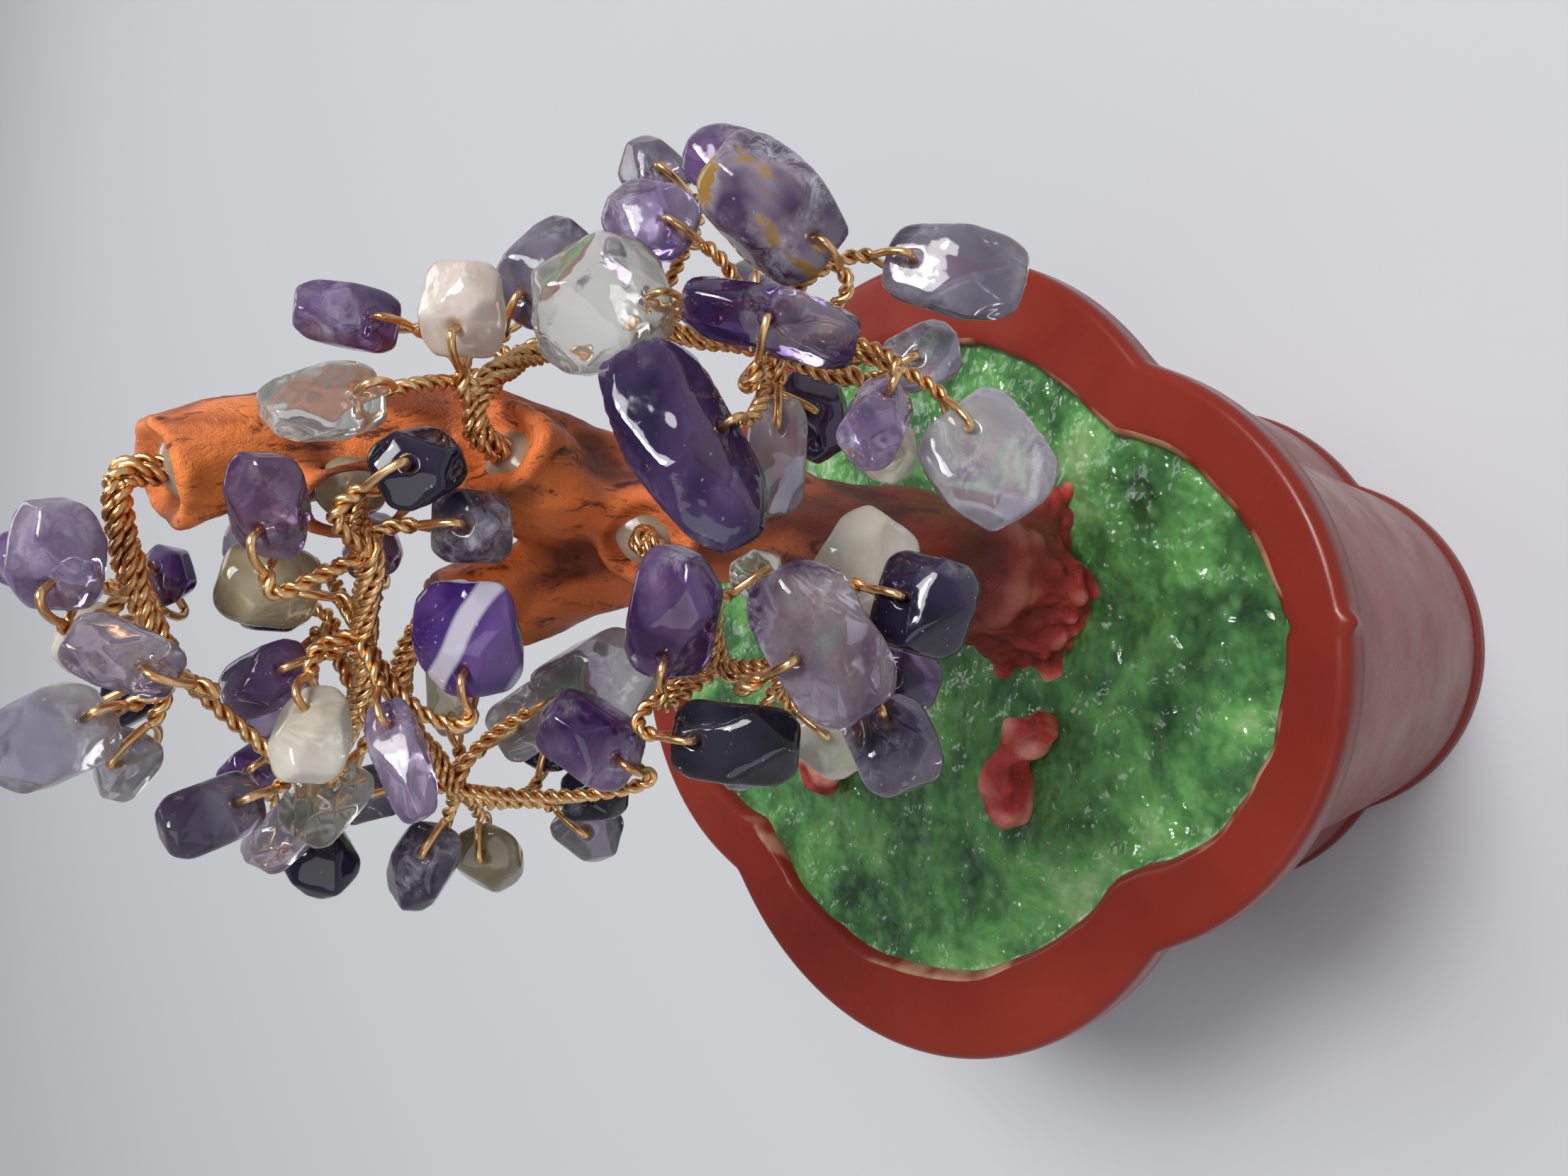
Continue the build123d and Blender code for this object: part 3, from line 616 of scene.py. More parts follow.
def add(tree, kind, values, **settings):
    made = tree.nodes.new("ShaderNode" + kind)
    for key, value in settings.items():
        setattr(made, key, value)
    for key, value in values.items():
        put(made.inputs[key], value)
    return made


def place(tree, scale=(1, 1, 1)):
    """Object coordinates through a Mapping node."""
    source = add(tree, "TexCoord", {}).outputs["Object"]
    return add(tree, "Mapping", {"Vector": source, "Scale": scale}).outputs["Vector"]


def new_finish(name):
    """A finish with its node tree, its shader and the place to be painted."""
    finish = bpy.data.materials.new(name)
    finish.use_nodes = True
    tree = finish.node_tree
    return finish, tree, tree.nodes["Principled BSDF"], place(tree)


def noise(where, scale, detail=3.0, distortion=0.0, roughness=0.55):
    values = {"Vector": where, "Scale": scale, "Detail": detail, "Distortion": distortion,
              "Roughness": roughness}
    return add(where.id_data, "TexNoise", values).outputs["Fac"]


def ramp(value, stops):
    made = add(value.id_data, "ValToRGB", {"Fac": value})
    elements = made.color_ramp.elements
    while len(elements) < len(stops):
        elements.new(0.5)
    for element, (position, colour) in zip(elements, stops):
        element.position = position
        element.color = (*colour, 1)
    return made.outputs["Color"]


def mask(value, low, high, first, last):
    """A value turned into grey: one level up to low, another from high on."""
    return ramp(value, [(low, (first, first, first)), (high, (last, last, last))])


# Places of the colour sockets among those of a Mix node
MIX_SHARE = 0
MIX_FIRST = 6
MIX_SECOND = 7
MIX_RESULT = 2


def mix(share, first, second, blend="MIX"):
    """A colour blended with another, a socket or plain values, by a share."""
    if isinstance(second, tuple):
        second = (*second, 1)
    values = {MIX_SHARE: share, MIX_FIRST: first, MIX_SECOND: second}
    made = add(first.id_data, "Mix", values, data_type="RGBA", blend_type=blend)
    return made.outputs[MIX_RESULT]


def times(first, second):
    return mix(1.0, first, second, "MULTIPLY")


def ranged(value, low, high, first=0.0, last=1.0):
    """A value carried from one range to another, and held at the ends."""
    values = {"Value": value, "From Min": low, "From Max": high, "To Min": first, "To Max": last}
    return add(value.id_data, "MapRange", values).outputs["Result"]


def bumped(shader, height, strength, distance):
    values = {"Height": height, "Strength": strength, "Distance": distance}
    put(shader.inputs["Normal"], add(height.id_data, "Bump", values).outputs["Normal"])


def paint(shader, colour, roughness, values):
    """Colour and roughness patterns and plain values, each on its own socket of the shader."""
    for key, value in {"Base Color": colour, "Roughness": roughness, **values}.items():
        put(shader.inputs[key], value)


def gem_finish(name, deep, pale, veil, veil_share, clear, banded, crusted):
    """Tumbled quartz: a slow change from a deep tint to a pale one, white wisps, a polished wavy skin.

    A banded stone has pale layers, and a crusted one a patch of the ochre rock that it grew on.
    """
    finish, tree, shader, where = new_finish(name)
    colour = ramp(noise(where, 120, 2.0, 0.5), [(0.40, deep), (0.62, pale)])
    if banded:
        wave = {"Vector": where, "Scale": 62.0, "Distortion": 2.2, "Detail": 2.0, "Detail Scale": 1.2}
        layers = add(tree, "TexWave", wave, bands_direction="DIAGONAL")
        stripes = mask(layers.outputs["Fac"], 0.70, 0.86, 0, 0.9)
        colour = mix(stripes, colour, (0.66, 0.62, 0.72))
    patches = mask(noise(where, 170, 2.0), 0.50 - veil_share, 0.66 - veil_share, 0, 1)
    wisps = mask(noise(where, 620, 7.0, 1.4, 0.7), 0.42, 0.68, 0, 1)
    colour = mix(times(patches, wisps), colour, veil)
    if crusted:
        rock = mask(noise(where, 120, 5.0, 0.4, 0.6), 0.53, 0.56, 0, 1)
        colour = mix(rock, colour, (0.42, 0.24, 0.055))
    specks = mask(noise(where, 2300, 2.0), 0.70, 0.76, 0, 0.5)
    colour = mix(specks, colour, (0.72, 0.70, 0.72))
    gloss = mask(noise(where, 480, 3.0), 0.35, 0.75, 0.03, 0.13)
    bumped(shader, noise(where, 330, 2.0), 0.22, 0.0007)
    paint(shader, colour, gloss, {
        "IOR": 1.54, "Transmission Weight": clear, "Subsurface Weight": 0.20,
        "Subsurface Radius": (0.0022, 0.0018, 0.0026), "Subsurface Scale": 1.0})
    return finish


# Tints: name, deep colour, pale colour, colour and share of the white wisps, clearness
TINTS = {
    "violet": ("violet_amethyst", (0.062, 0.022, 0.125), (0.25, 0.15, 0.34),
               (0.6, 0.55, 0.64), -0.03, 0.66),
    "purple": ("deep_amethyst", (0.03, 0.014, 0.068), (0.105, 0.062, 0.175),
               (0.42, 0.38, 0.48), -0.08, 0.56),
    "indigo": ("indigo_stone", (0.007, 0.005, 0.016), (0.022, 0.015, 0.042),
               (0.3, 0.28, 0.36), -0.12, 0.15),
    "black": ("black_stone", (0.005, 0.005, 0.008), (0.022, 0.02, 0.034), (0.3, 0.29, 0.33), -0.14, 0.1),
    "smoky": ("smoky_stone", (0.07, 0.045, 0.098), (0.3, 0.26, 0.33), (0.58, 0.56, 0.6), 0.02, 0.64),
    "lilac": ("lilac_quartz", (0.17, 0.1, 0.27), (0.46, 0.38, 0.53), (0.74, 0.71, 0.78), 0.03, 0.72),
    "rose": ("rose_amethyst", (0.12, 0.055, 0.145), (0.36, 0.24, 0.37), (0.66, 0.6, 0.68), 0.0, 0.68),
    "veiled": ("veiled_amethyst", (0.095, 0.042, 0.145), (0.46, 0.4, 0.46),
               (0.74, 0.71, 0.74), 0.04, 0.76),
    "crusted": ("crusted_amethyst", (0.085, 0.05, 0.12), (0.38, 0.33, 0.4), (0.7, 0.67, 0.7), 0.02, 0.4),
    "crystal": ("crystal_point", (0.07, 0.03, 0.14), (0.46, 0.41, 0.5), (0.78, 0.76, 0.8), 0.0, 0.76),
    "clear": ("clear_quartz", (0.6, 0.6, 0.53), (0.76, 0.75, 0.71), (0.86, 0.85, 0.83), -0.1, 0.88),
    "cloudy": ("cloudy_quartz", (0.36, 0.32, 0.43), (0.6, 0.59, 0.58), (0.8, 0.79, 0.8), 0.06, 0.66),
    "milky": ("milky_quartz", (0.68, 0.64, 0.52), (0.82, 0.79, 0.7), (0.86, 0.84, 0.79), 0.03, 0.5),
    "peach": ("peach_quartz", (0.62, 0.5, 0.42), (0.76, 0.67, 0.6), (0.88, 0.84, 0.8), 0.02, 0.4),
    "olive": ("olive_stone", (0.26, 0.21, 0.115), (0.46, 0.4, 0.26), (0.55, 0.53, 0.46), -0.02, 0.35),
    "banded": ("banded_amethyst", (0.038, 0.012, 0.13), (0.15, 0.075, 0.28),
               (0.5, 0.46, 0.58), -0.1, 0.3),
}
GEMS = {tint: gem_finish(*row, tint == "banded", tint == "crusted") for tint, row in TINTS.items()}

# The inner wall faces the pot's axis: there, place dot normal is less than this, in metres
INNER_FACING = -0.012


def lacquer_finish():
    """Oxide-red lacquer with slow clouds of tone and fine dust; the rim's inner wall is partly bare."""
    finish, tree, shader, where = new_finish("red_lacquer")
    colour = ramp(noise(where, 35, 4.0, 0.4),
                  [(0.30, (0.150, 0.016, 0.010)), (0.70, (0.205, 0.026, 0.015))])
    dust = mask(noise(where, 900, 5.0, 0.0, 0.75), 0.62, 0.80, 0, 0.30)
    colour = mix(dust, colour, (0.28, 0.085, 0.065))
    normal = add(tree, "TexCoord", {}).outputs["Normal"]
    aside = place(tree, (1, 1, 0))
    facing = add(tree, "VectorMath", {0: aside, 1: normal}, operation="DOT_PRODUCT")
    inner = add(tree, "Math", {0: facing.outputs["Value"], 1: INNER_FACING}, operation="LESS_THAN")
    worn = mask(noise(where, 90, 3.0), 0.50, 0.60, 0, 0.9)
    bare = times(worn, inner.outputs["Value"])
    colour = mix(bare, colour, (0.34, 0.19, 0.11))
    gloss = mask(noise(where, 120, 5.0), 0.3, 0.7, 0.20, 0.36)
    bumped(shader, noise(where, 260, 4.0), 0.10, 0.0006)
    paint(shader, colour, gloss, {"Specular IOR Level": 0.18})
    return finish


def ground_finish():
    """Green resin over chips of stone: emerald and olive mottling with pale flecks under a wet gloss."""
    finish, tree, shader, where = new_finish("green_resin")
    mottling = noise(where, 110, 5.0, 0.2, 0.62)
    colour = ramp(mottling, [(0.32, (0.014, 0.048, 0.016)), (0.46, (0.042, 0.135, 0.038)),
                             (0.58, (0.100, 0.280, 0.070)), (0.74, (0.30, 0.42, 0.20))])
    cells = add(tree, "TexVoronoi", {"Vector": where, "Scale": 420.0, "Randomness": 1.0})
    grain = mask(cells.outputs["Distance"], 0.10, 0.45, 0.55, 0)
    colour = mix(grain, colour, (0.105, 0.27, 0.085))
    flecks = mask(noise(where, 330, 3.0, 0.6, 0.8), 0.66, 0.74, 0, 0.85)
    colour = mix(flecks, colour, (0.42, 0.52, 0.40))
    gloss = mask(mottling, 0.3, 0.7, 0.06, 0.22)
    bumped(shader, noise(where, 300, 2.0), 0.85, 0.0018)
    paint(shader, colour, gloss, {"Coat Weight": 0.7, "Coat Roughness": 0.08})
    return finish


# Heights in metres between which the bark's paint changes, and how much noise shifts them
ROOT_HEIGHT = 0.070
LIMB_HEIGHT = 0.172
HEIGHT_JITTER = 0.22


def bark_finish():
    """Painted casting: red roots, a dark stem, orange limbs, cracks along the grain; painted shade in the
    hollows and a painted pink highlight on the root's knobs.
    """
    finish, tree, shader, where = new_finish("painted_bark")
    split = add(tree, "SeparateXYZ", {"Vector": where})
    height = ranged(split.outputs["Z"], ROOT_HEIGHT, LIMB_HEIGHT)
    jitter = {0: noise(where, 60, 3.0), 1: HEIGHT_JITTER, 2: height}
    level = add(tree, "Math", jitter, operation="MULTIPLY_ADD").outputs["Value"]
    tone = ramp(level, [(0.13, (0.50, 0.040, 0.030)), (0.27, (0.17, 0.016, 0.012)),
                        (0.44, (0.30, 0.032, 0.014)), (0.58, (0.74, 0.150, 0.026)),
                        (1.0, (0.84, 0.22, 0.040))])
    patches = mask(noise(where, 150, 4.0, 0.6), 0.42, 0.72, 0, 0.55)
    limbs = mask(level, 0.36, 0.52, 0.1, 1)
    tone = mix(times(patches, limbs), tone, (0.70, 0.20, 0.085))
    relief = add(tree, "Attribute", {}, attribute_name=RELIEF)
    # Painted shade: the paint is darker in the hollows of the relief, less so at the root.
    hollows = ranged(relief.outputs["Fac"], -0.95, 0.05, 1.0, 0.0)
    crevice_shade = mask(hollows, 0.38, 0.78, 0, 0.80)
    upper = mask(level, 0.14, 0.32, 0.6, 1)
    tone = mix(times(crevice_shade, upper), tone, (0.085, 0.011, 0.007))
    grain = noise(place(tree, (1, 1, 0.42)), 420, 7.0, 0.5, 0.72)
    cracks = mask(grain, 0.38, 0.46, 0.9, 0)
    tone = mix(times(cracks, upper), tone, (0.055, 0.008, 0.006))
    # Painted highlight: pale pink on the tops of the root's knobs.
    knobs = ranged(relief.outputs["Fac"], -0.15, 0.70, 0.0, 0.85)
    lower = mask(level, 0.16, 0.32, 1, 0)
    tone = mix(times(knobs, lower), tone, (0.86, 0.34, 0.25))
    gloss = mask(noise(where, 300, 4.0), 0.3, 0.7, 0.22, 0.46)
    bumped(shader, grain, 0.9, 0.0009)
    paint(shader, tone, gloss, {"Specular IOR Level": 0.45})
    return finish


def glue_finish():
    """Hardened glue, olive-grey and half clear, with small cloudy spots."""
    finish, _, shader, where = new_finish("clear_glue")
    colour = ramp(noise(where, 380, 3.0, 0.5), [(0.35, (0.50, 0.42, 0.26)), (0.70, (0.74, 0.68, 0.54))])
    ripple = noise(where, 500, 3.0)
    gloss = mask(ripple, 0.3, 0.7, 0.08, 0.22)
    bumped(shader, ripple, 0.2, 0.0003)
    paint(shader, colour, gloss, {"Transmission Weight": 0.60, "IOR": 1.49})
    return finish


def copper_finish():
    """Drawn copper wire, gold where it is bright and browner where it has been handled."""
    finish, _, shader, where = new_finish("copper_wire")
    colour = ramp(noise(where, 260, 4.0, 0.5), [(0.30, (0.62, 0.31, 0.115)), (0.66, (0.95, 0.63, 0.31))])
    gloss = mask(noise(where, 900, 3.0), 0.3, 0.7, 0.22, 0.40)
    bumped(shader, noise(where, 1500, 2.0), 0.10, 0.0001)
    paint(shader, colour, gloss, {"Metallic": 1.0})
    return finish


def mortar_finish():
    """The cast filling under the resin: grey, sandy and dull."""
    finish, _, shader, where = new_finish("cast_filling")
    colour = ramp(noise(where, 500, 6.0), [(0.3, (0.28, 0.26, 0.23)), (0.7, (0.44, 0.42, 0.38))])
    rough = mask(noise(where, 300, 3.0), 0.3, 0.7, 0.8, 0.95)
    paint(shader, colour, rough, {})
    return finish


LACQUER = lacquer_finish()
GROUND = ground_finish()
BARK = bark_finish()
GLUE = glue_finish()
COPPER = copper_finish()
MORTAR = mortar_finish()

# Pot

ROUND = circle(560)
# Foot band: (how far it stands out from the wall, height)
FOOT_BAND = ((-3.0, 0.0), (0.6, 0.0), (0.86, 0.3), (0.86, 1.2), (0.86, 2.1), (0.4, 2.5))
WALL_HOLLOW = 0.25
# Underside of the lip: (inset, height over the lip's lower edge)
LIP_UNDERSIDE = ((LIP_OVERHANG - 0.5, -0.25), (LIP_OVERHANG - 2.2, 0.0), (0.35, 0.1), (0.05, 0.6))
# Inner edge of the lip: (how far it is wider than the mouth, depth under the rim's top)
LIP_INSIDE = ((0.9, 0.05), (0.35, 0.3), (0.0, 1.0))
CAVITY_HEIGHTS = (POT_HEIGHT - 4.0, POT_HEIGHT - 8.0, POT_HEIGHT / 2, FLOOR_THICKNESS)
# Waves of the mouth's edge: (spacing, seed, depth)
MOUTH_WAVES = ((9.0, 2.0, 0.7), (3.5, 5.0, 0.35))
NUB_ANGLE = -1.51
NUB_HEIGHT = POT_HEIGHT - 0.9
NUB_REACH = 0.9


def pot_ring(inset, share, height):
    return lobed_ring(POT_HALF, LOBE_OFFSET, inset, share, height, ROUND, LOBE_ROUNDING)


def layered(points, layers):
    """Layers of noise added up, each given by its spacing, seed and height."""
    return sum(lumps(points, spacing, seed) * height for spacing, seed, height in layers)


def mouth_ring(grow, height):
    """The inner edge of the rim, uneven as the paint and resin left it."""
    half = (MOUTH_HALF[0] + grow, MOUTH_HALF[1] + grow)
    ring = lobed_ring(half, MOUTH_OFFSET, 0.0, 1.0, height, ROUND, MOUTH_ROUNDING)
    wave = layered(ring, MOUTH_WAVES)
    ring[:, :2] *= (1 + wave / np.linalg.norm(ring[:, :2], axis=1))[:, None]
    return ring


def cavity_ring(height):
    """The inner wall, which narrows towards the floor."""
    rise = (height - FLOOR_THICKNESS) / (POT_HEIGHT - FLOOR_THICKNESS)
    share = CAVITY_FOOT_SCALE + (1 - CAVITY_FOOT_SCALE) * rise
    return mouth_ring(0.0, height) * (share, share, 1)


def make_pot():
    """Rings of the lobed outline up the outside, over the lip and down inside to the floor.

    The lip's edge is a quarter round: inset r(1 - cos a) at height r sin a. A small casting nub stands
    on it in front.
    """
    lip_low = POT_HEIGHT - LIP_HEIGHT
    rings = [pot_ring(LIP_OVERHANG, FOOT_SCALE, 0.0) * (0.0, 0.0, 1.0)]
    rings += [pot_ring(LIP_OVERHANG - out, FOOT_SCALE, height) for out, height in FOOT_BAND]
    for rise in np.linspace(0.04, 0.985, 24):
        share = FOOT_SCALE + (1 - FOOT_SCALE) * rise
        inset = LIP_OVERHANG + WALL_HOLLOW * math.sin(math.pi * rise)
        rings.append(pot_ring(inset, share, rise * lip_low))
    rings += [pot_ring(inset, 1.0, lip_low + height) for inset, height in LIP_UNDERSIDE]
    for a in np.linspace(0, math.pi / 2, 9):
        inset = LIP_EDGE * (1 - math.cos(a))
        rings.append(pot_ring(inset, 1.0, POT_HEIGHT - LIP_EDGE + LIP_EDGE * math.sin(a)))
    inside = [mouth_ring(grow, POT_HEIGHT - depth) for grow, depth in LIP_INSIDE]
    for share in np.linspace(0.15, 0.85, 8):
        rings.append(pot_ring(LIP_EDGE, 1.0, POT_HEIGHT) * (1 - share) + inside[0] * share)
    rings += inside + [cavity_ring(height) for height in CAVITY_HEIGHTS]
    rings.append(cavity_ring(FLOOR_THICKNESS) * (0, 0, 1))
    grid = np.array(rings)
    outward = grid * (1, 1, 0)
    outward = outward / np.maximum(np.linalg.norm(outward, axis=-1, keepdims=True), 1e-9)
    off = np.angle(np.exp(1j * (ROUND - NUB_ANGLE))) * POT_HALF[1]
    up = grid[..., 2] - NUB_HEIGHT
    nub = NUB_REACH * np.exp(-((off / NUB_REACH) ** 2)) * np.exp(-((up / NUB_REACH) ** 2))
    return surface("pot_shell", [grid + outward * nub[..., None]], [LACQUER])


# Bumps of the resin: (spacing, seed, height), millimetres
BED_BUMPS = ((11.0, 1.0, 0.45), (4.0, 2.0, 0.30), (1.7, 3.0, 0.16))
BED_GROW = 0.25
BED_SINK = 0.55
BED_TILT = 0.005
BED_FADE = 0.2
MENISCUS_RISE = 0.45
MENISCUS_SHARE = 0.012


def make_ground():
    """A slab: rings of the rim's inner edge drawn in to the trunk's foot, over a flat underside.

    The height of its top is a bumpy field with a rise at the wall.
    """
    edge = mouth_ring(BED_GROW, GROUND_TOP)
    share = np.linspace(1, 0, 90)[:, None, None]
    centre = np.array([*TRUNK_FOOT, GROUND_TOP])
    grid = centre + (edge - centre) * share
    bumps = layered(grid * (1, 1, 0), BED_BUMPS)
    tilt = BED_TILT * (grid[..., 0] - grid[..., 1])
    meniscus = MENISCUS_RISE * np.exp(-(1 - share[..., 0]) / MENISCUS_SHARE)
    grid[..., 2] = GROUND_TOP - BED_SINK + (bumps + tilt) * share[..., 0] ** BED_FADE + meniscus
    under = cavity_ring(GROUND_TOP - GROUND_THICKNESS)[None]
    return surface("green_bed", [np.concatenate([capped(under)[:2], grid])], [GROUND])


pot = make_pot()
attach(pot, "pot_and_trunk")
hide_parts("pot")
bed = make_ground()
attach(bed, "pot_and_trunk")
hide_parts("green_ground")

# Trunk and roots

# Stem: height above the ground, centre x and y, half sizes x and y
STEM = np.array([
    (-2.5, 9.0, -18.0, 14.2, 10.7), (0.0, 9.0, -18.0, 14.0, 10.5), (5.5, 9.6, -18.0, 11.0, 9.2),
    (15.0, 10.8, -18.0, 7.8, 7.4), (31.5, 12.8, -17.8, 6.3, 6.3), (47.5, 13.3, -17.2, 6.4, 6.2),
    (58.5, 13.6, -16.6, 5.6, 5.4),
])
STEM_SHARE = 0.93
FLARE_ANGLES = (3.5, 4.6, 5.7, 0.4, 1.7, 2.6)
FLARE_WIDTH = 0.30
FLARE_DEPTH = 0.20
FLARE_HEIGHT = 9.0
STUB_LIP = 0.5
RIM_WIDTH = 1.05
RIM_RISE = 0.8
ASIDE = (0.2, 0.3, 1.0)
# Bark: (spacing, seed, height) of the root's knobs and of the grain, and what is taken off again
BARK_VOXEL = 0.55
LUMP_SPACING = 4.6
LUMP_SEED = 4.0
LUMP_HEIGHT = 0.50
ROOT_LUMP_HEIGHT = 0.7
ROOT_REACH = 14
ROOT_KNOBS = ((3.0, 9.0, 1.7), (1.6, 5.0, 0.7))
KNOB_SINK = 0.75
BARK_GRAIN = ((2.1, 6.0, 0.32), (1.0, 8.0, 0.14))
BARK_SINK = 0.35


def make_column():
    """The stem: rings that follow the casting, with lobes of root that fade out upwards."""
    heights = STEM[:, 0]
    h = np.linspace(heights[0], heights[-1], 92)
    cx, cy, ax, ay = (np.interp(h, heights, column)[:, None] for column in STEM.T[1:])
    turn = circle(96)[None]
    fade = np.exp(-np.maximum(h, 0)[:, None] / FLARE_HEIGHT)
    lobes = sum(np.exp(-((np.angle(np.exp(1j * (turn - a))) / FLARE_WIDTH) ** 2)) for a in FLARE_ANGLES)
    swirl = np.sin(5 * turn + h[:, None] * 0.07) * 0.04 + np.sin(3 * turn - h[:, None] * 0.05 + 1) * 0.03
    radius = STEM_SHARE + swirl - FLARE_DEPTH * fade * (1 - np.minimum(lobes, 1))
    return capped(np.stack([cx + ax * radius * np.cos(turn), cy + ay * radius * np.sin(turn),
                            GROUND_TOP + h[:, None] + 0 * turn], -1))


def branch_frame(name):
    mouth, axis, forks = BRANCHES[name]
    return tree_point(mouth), unit(axis), [tree_point(f) for f in forks]


def socket_frame(name):
    """A socket's mouth, its axis and two ways across it."""
    mouth, axis, _ = branch_frame(name)
    side = unit(np.cross(axis, ASIDE))
    return mouth, axis, side, np.cross(axis, side)


def stub(name, root, radii, ridges, seed):
    mouth, axis, _ = branch_frame(name)
    points = [tree_point(p) for p in root] + [mouth - axis * SOCKET_DEPTH, mouth + axis * STUB_LIP]
    return limb_tube(points, radii, ridges, seed)


def socket_rim(name):
    """The rolled edge of a socket: a ring of bark round the glue."""
    mouth, axis, side, other = socket_frame(name)
    ring = np.linspace(0, 2 * np.pi, 49)[:, None, None]
    turn = circle(14)[None, :, None]
    across = SOCKET_RADIUS + RIM_WIDTH + RIM_WIDTH * np.cos(turn)
    return (mouth + around(side, other, ring) * across
            + axis * (RIM_RISE + RIM_WIDTH * np.sin(turn)))


def bark_relief(points):
    """Broad lumps, and finer ones drawn out upright.

    At the roots there are also round knobs, |noise|, with creases between them.
    """
    low = np.clip(1 - (points[:, 2] - GROUND_TOP) / ROOT_REACH, 0, 1)
    knobs = sum(np.abs(lumps(points, spacing, seed)) * height for spacing, seed, height in ROOT_KNOBS)
    broad = lumps(points, LUMP_SPACING, LUMP_SEED) * (LUMP_HEIGHT + ROOT_LUMP_HEIGHT * low)
    grain = layered(points * (1, 1, 0.35), BARK_GRAIN)
    return broad + grain - BARK_SINK + (knobs - KNOB_SINK) * low


trunk = surface("trunk_bark", [
    make_column(),
    stub("front", [(13.2, -17.0, 51.0)], [5.4, 5.0, 4.6], 5, 0.3),
    stub("right", [(14.5, -17.0, 55.0)], [5.5, 5.0, 4.6], 4, 1.1),
    stub("left", [(11.5, -15.5, 52.0)], [5.5, 5.0, 4.6], 5, 2.3),
    stub("top", [(13.6, -16.4, 52.0), (18.6, -14.6, 69.0)], [5.5, 5.5, 5.1, 4.7], 5, 3.7),
] + [socket_rim(name) for name in BRANCHES], [BARK])
sculpted(trunk, BARK_VOXEL, bark_relief)
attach(trunk, "pot_and_trunk")
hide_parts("trunk")

# Root ends: x and y of the knob and of the tail
SPURS = {
    "root_spur_left": ((-17.5, -15.0), (-7.5, -21.0)),
    "root_spur_rear": ((-17.0, 16.0), (-9.0, 11.0)),
}
KNOB_RISE = 1.5
TAIL_RISE = 1.0
PAST_KNOB = 2.0
SPUR_VOXEL = 0.4
SPUR_BEND = (0.6, 1.9, 0.3)
SPUR_RADII = (2.1, 2.3, 3.2, 2.2)
SPUR_BUMPS = ((2.8, 3.0, 1.10), (1.1, 7.0, 0.25))
SPUR_SINK = 0.10


def make_spur(node, knob, tail):
    """A stray root: a bent tube that swells into a knob."""
    knob = np.array([*knob, GROUND_TOP + KNOB_RISE])
    tail = np.array([*tail, GROUND_TOP + TAIL_RISE])
    bend = (knob + tail) / 2 + SPUR_BEND
    past = knob + unit(knob - tail) * PAST_KNOB
    tube = limb_tube([tail, bend, knob, past], SPUR_RADII, 4, knob[0], 40)
    piece = surface(node + "_bark", [tube], [BARK])
    sculpted(piece, SPUR_VOXEL, lambda points: layered(points, SPUR_BUMPS) - SPUR_SINK)
    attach(piece, "pot_and_trunk")
    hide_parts(node)


for node, (knob, tail) in SPURS.items():
    make_spur(node, knob, tail)


# Glue, wires and chips

def make_glue(name):
    """A blob in a socket: a dome, PLUG_DOME (1 - (r / R)^2) high, on an uneven outline of radius R."""
    mouth, axis, side, other = socket_frame(name)
    share = np.linspace(0, 1, 22)[:, None]
    turn = circle(48)[None]
    uneven = 0.05 * np.sin(2 * turn + mouth[0]) + 0.03 * np.sin(5 * turn + mouth[1])
    across = share * SOCKET_RADIUS * (1.0 + uneven)
    rise = PLUG_DOME * (1 - share**2) + PLUG_PROUD
    top = (mouth + side * (across * np.cos(turn))[..., None] + other * (across * np.sin(turn))[..., None]
           + axis * (rise + 0 * turn)[..., None])
    below = top[-1:] - axis * PLUG_BELOW
    floor = np.broadcast_to(below.mean(1, keepdims=True), below.shape)
    piece = surface(name + "_glue", [np.concatenate([top, below, floor])], [GLUE])
    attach(piece, "pot_and_trunk")
    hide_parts(name + "_glue_plug")


def make_wires(name, chips):
    """A branch's rope and twisted pairs; its neck at the glue is a piece of its own."""
    mouth, axis, forks = branch_frame(name)
    bend = mouth + axis * PLUG_DOME
    lead = bend + axis * BEND_LEAD
    line = through([mouth - axis * (SOCKET_DEPTH - 1), mouth, lead] + forks, ROPE_STEP)
    split = int(np.argmin(np.linalg.norm(line - lead, axis=1)))
    neck = surface(name + "_rope_neck", rope_strands(line, 0, split + 1), [COPPER])
    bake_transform(neck)
    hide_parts(name + "_rope_end")
    grids = rope_strands(line, split, None)
    grids += [twisted_wire(chip, forks) for chip in chips]
    wires = surface(name + "_wires", grids, [COPPER])
    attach(wires, name + "_branch")
    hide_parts(name + "_branch_wire")


# How sharp the edges of a tint's chips are: the power of the soft minimum
SOFTNESS = {"crystal": 34, "clear": 40, "indigo": 20, "black": 26, "purple": 28, "olive": 12}
SOFT = 22

for name in BRANCHES:
    make_glue(name)
    free = {f"{name}_{chip}": Chip(*spec) for chip, spec in FREE_CHIPS[name].items()}
    inner = [Chip(*spec) for spec in INNER_CHIPS[name]]
    make_wires(name, list(free.values()) + inner)
    for node, chip in free.items():
        piece = surface(node + "_stone", [stone(chip, SOFTNESS.get(chip.tint, SOFT))], [GEMS[chip.tint]])
        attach(piece, node)
        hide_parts(node)
    stones = [stone(chip, SOFTNESS.get(chip.tint, SOFT)) for chip in inner]
    wedged = surface(name + "_inner_stones", stones, [GEMS[chip.tint] for chip in inner])
    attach(wedged, name + "_branch")
    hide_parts(name + "_inner_chips")

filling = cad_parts["pot_filling"]
filling.data.materials.clear()
filling.data.materials.append(MORTAR)

# Stage, lights and camera

FLOOR_HALF = 20.0
FLOOR_COLOUR = (0.485, 0.490, 0.508, 1)
FLOOR_ROUGHNESS = 0.9
# Sky: sine of the height over the horizon, and colour
SKY = [(0.0, (0.50, 0.51, 0.53)), (0.30, (0.32, 0.33, 0.35)), (0.9, (0.15, 0.155, 0.17))]
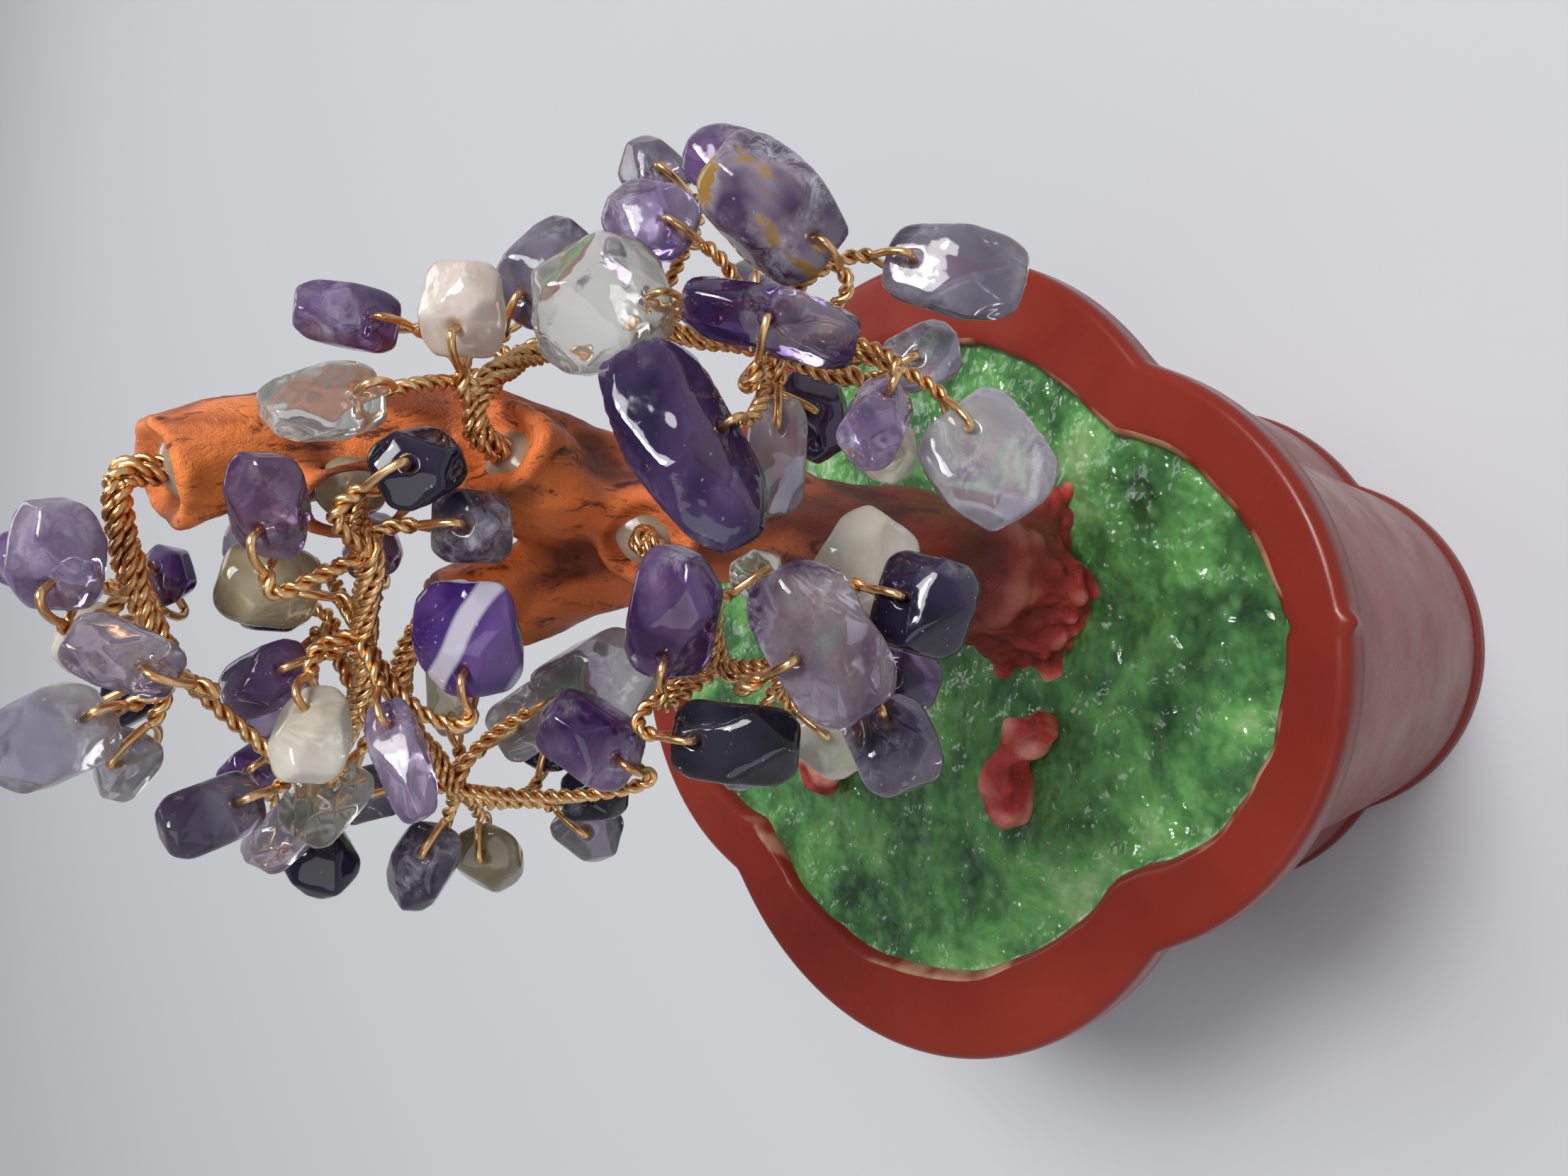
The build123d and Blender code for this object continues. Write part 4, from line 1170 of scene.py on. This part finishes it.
# Softboxes: place, target and size in metres, power in watts
SOFTBOXES = {
    "key": ((0.34, -0.26, 0.88), (0.0, 0.0, 0.10), (0.65, 0.28), 6.0),
    "fill": ((-0.60, -0.55, 0.60), (0.0, 0.0, 0.05), (0.6, 0.6), 1.3),
    "back": ((0.35, 0.70, 0.55), (0.0, 0.0, 0.12), (0.5, 0.3), 1.2),
}
SUN_WAY = (-0.36, 0.25, -1.0)
SUN_SPREAD = 14
SUN_POWER = 1.5

floor_mesh = bpy.data.meshes.new("floor")
corners = [(x * FLOOR_HALF, y * FLOOR_HALF, 0) for x, y in ((-1, -1), (1, -1), (1, 1), (-1, 1))]
floor_mesh.from_pydata(corners, [], [(0, 1, 2, 3)])
floor = shown("floor", floor_mesh)
floor_finish, _, floor_shader, _ = new_finish("pale_floor")
paint(floor_shader, FLOOR_COLOUR, FLOOR_ROUGHNESS, {})
floor_mesh.materials.append(floor_finish)

world = bpy.data.worlds.new("studio")
scene.world = world
world.use_nodes = True
sky = world.node_tree
direction = add(sky, "TexCoord", {}).outputs["Generated"]
split = add(sky, "SeparateXYZ", {"Vector": direction})
put(sky.nodes["Background"].inputs["Color"], ramp(split.outputs["Z"], SKY))


def hang(name, lamp, at, way):
    """Puts a lamp at a place, shining a given way."""
    holder = shown(name, lamp)
    holder.location = at
    holder.rotation_euler = Vector(way).to_track_quat("-Z", "Y").to_euler()


for name, (at, aim, size, power) in SOFTBOXES.items():
    lamp = bpy.data.lights.new(name, "AREA")
    lamp.shape = "RECTANGLE"
    lamp.size, lamp.size_y = size
    lamp.energy = power
    hang(name, lamp, at, Vector(aim) - Vector(at))

overhead = bpy.data.lights.new("overhead", "SUN")
overhead.energy = SUN_POWER
overhead.angle = math.radians(SUN_SPREAD)
hang("overhead", overhead, (0, 0, 0), SUN_WAY)

# Camera: degrees, millimetres
VIEW_AZIMUTH = 2.58
VIEW_ELEVATION = 42.47
VIEW_ROLL = 1.27
VIEW_PLACE = (2.96, -110.8, 194.7)
LENS = 29.78

camera_data = bpy.data.cameras.new("camera")
camera_data.lens = LENS
camera_data.sensor_width = 36.0
camera_data.clip_start = 0.005
camera = shown("camera", camera_data)
az, el, roll = (math.radians(a) for a in (VIEW_AZIMUTH, VIEW_ELEVATION, VIEW_ROLL))
look = Vector((math.sin(az) * math.cos(el), math.cos(az) * math.cos(el), -math.sin(el)))
right = look.cross(Vector((0, 0, 1))).normalized()
up = right.cross(look)
tree_right = right * math.cos(roll) + up * math.sin(roll)
tree_up = up * math.cos(roll) - right * math.sin(roll)
turned = Matrix((-tree_up, tree_right, -look)).transposed().to_4x4()
camera.matrix_world = Matrix.Translation(Vector(VIEW_PLACE) * MM) @ turned
scene.camera = camera
scene.view_settings.view_transform = "Standard"
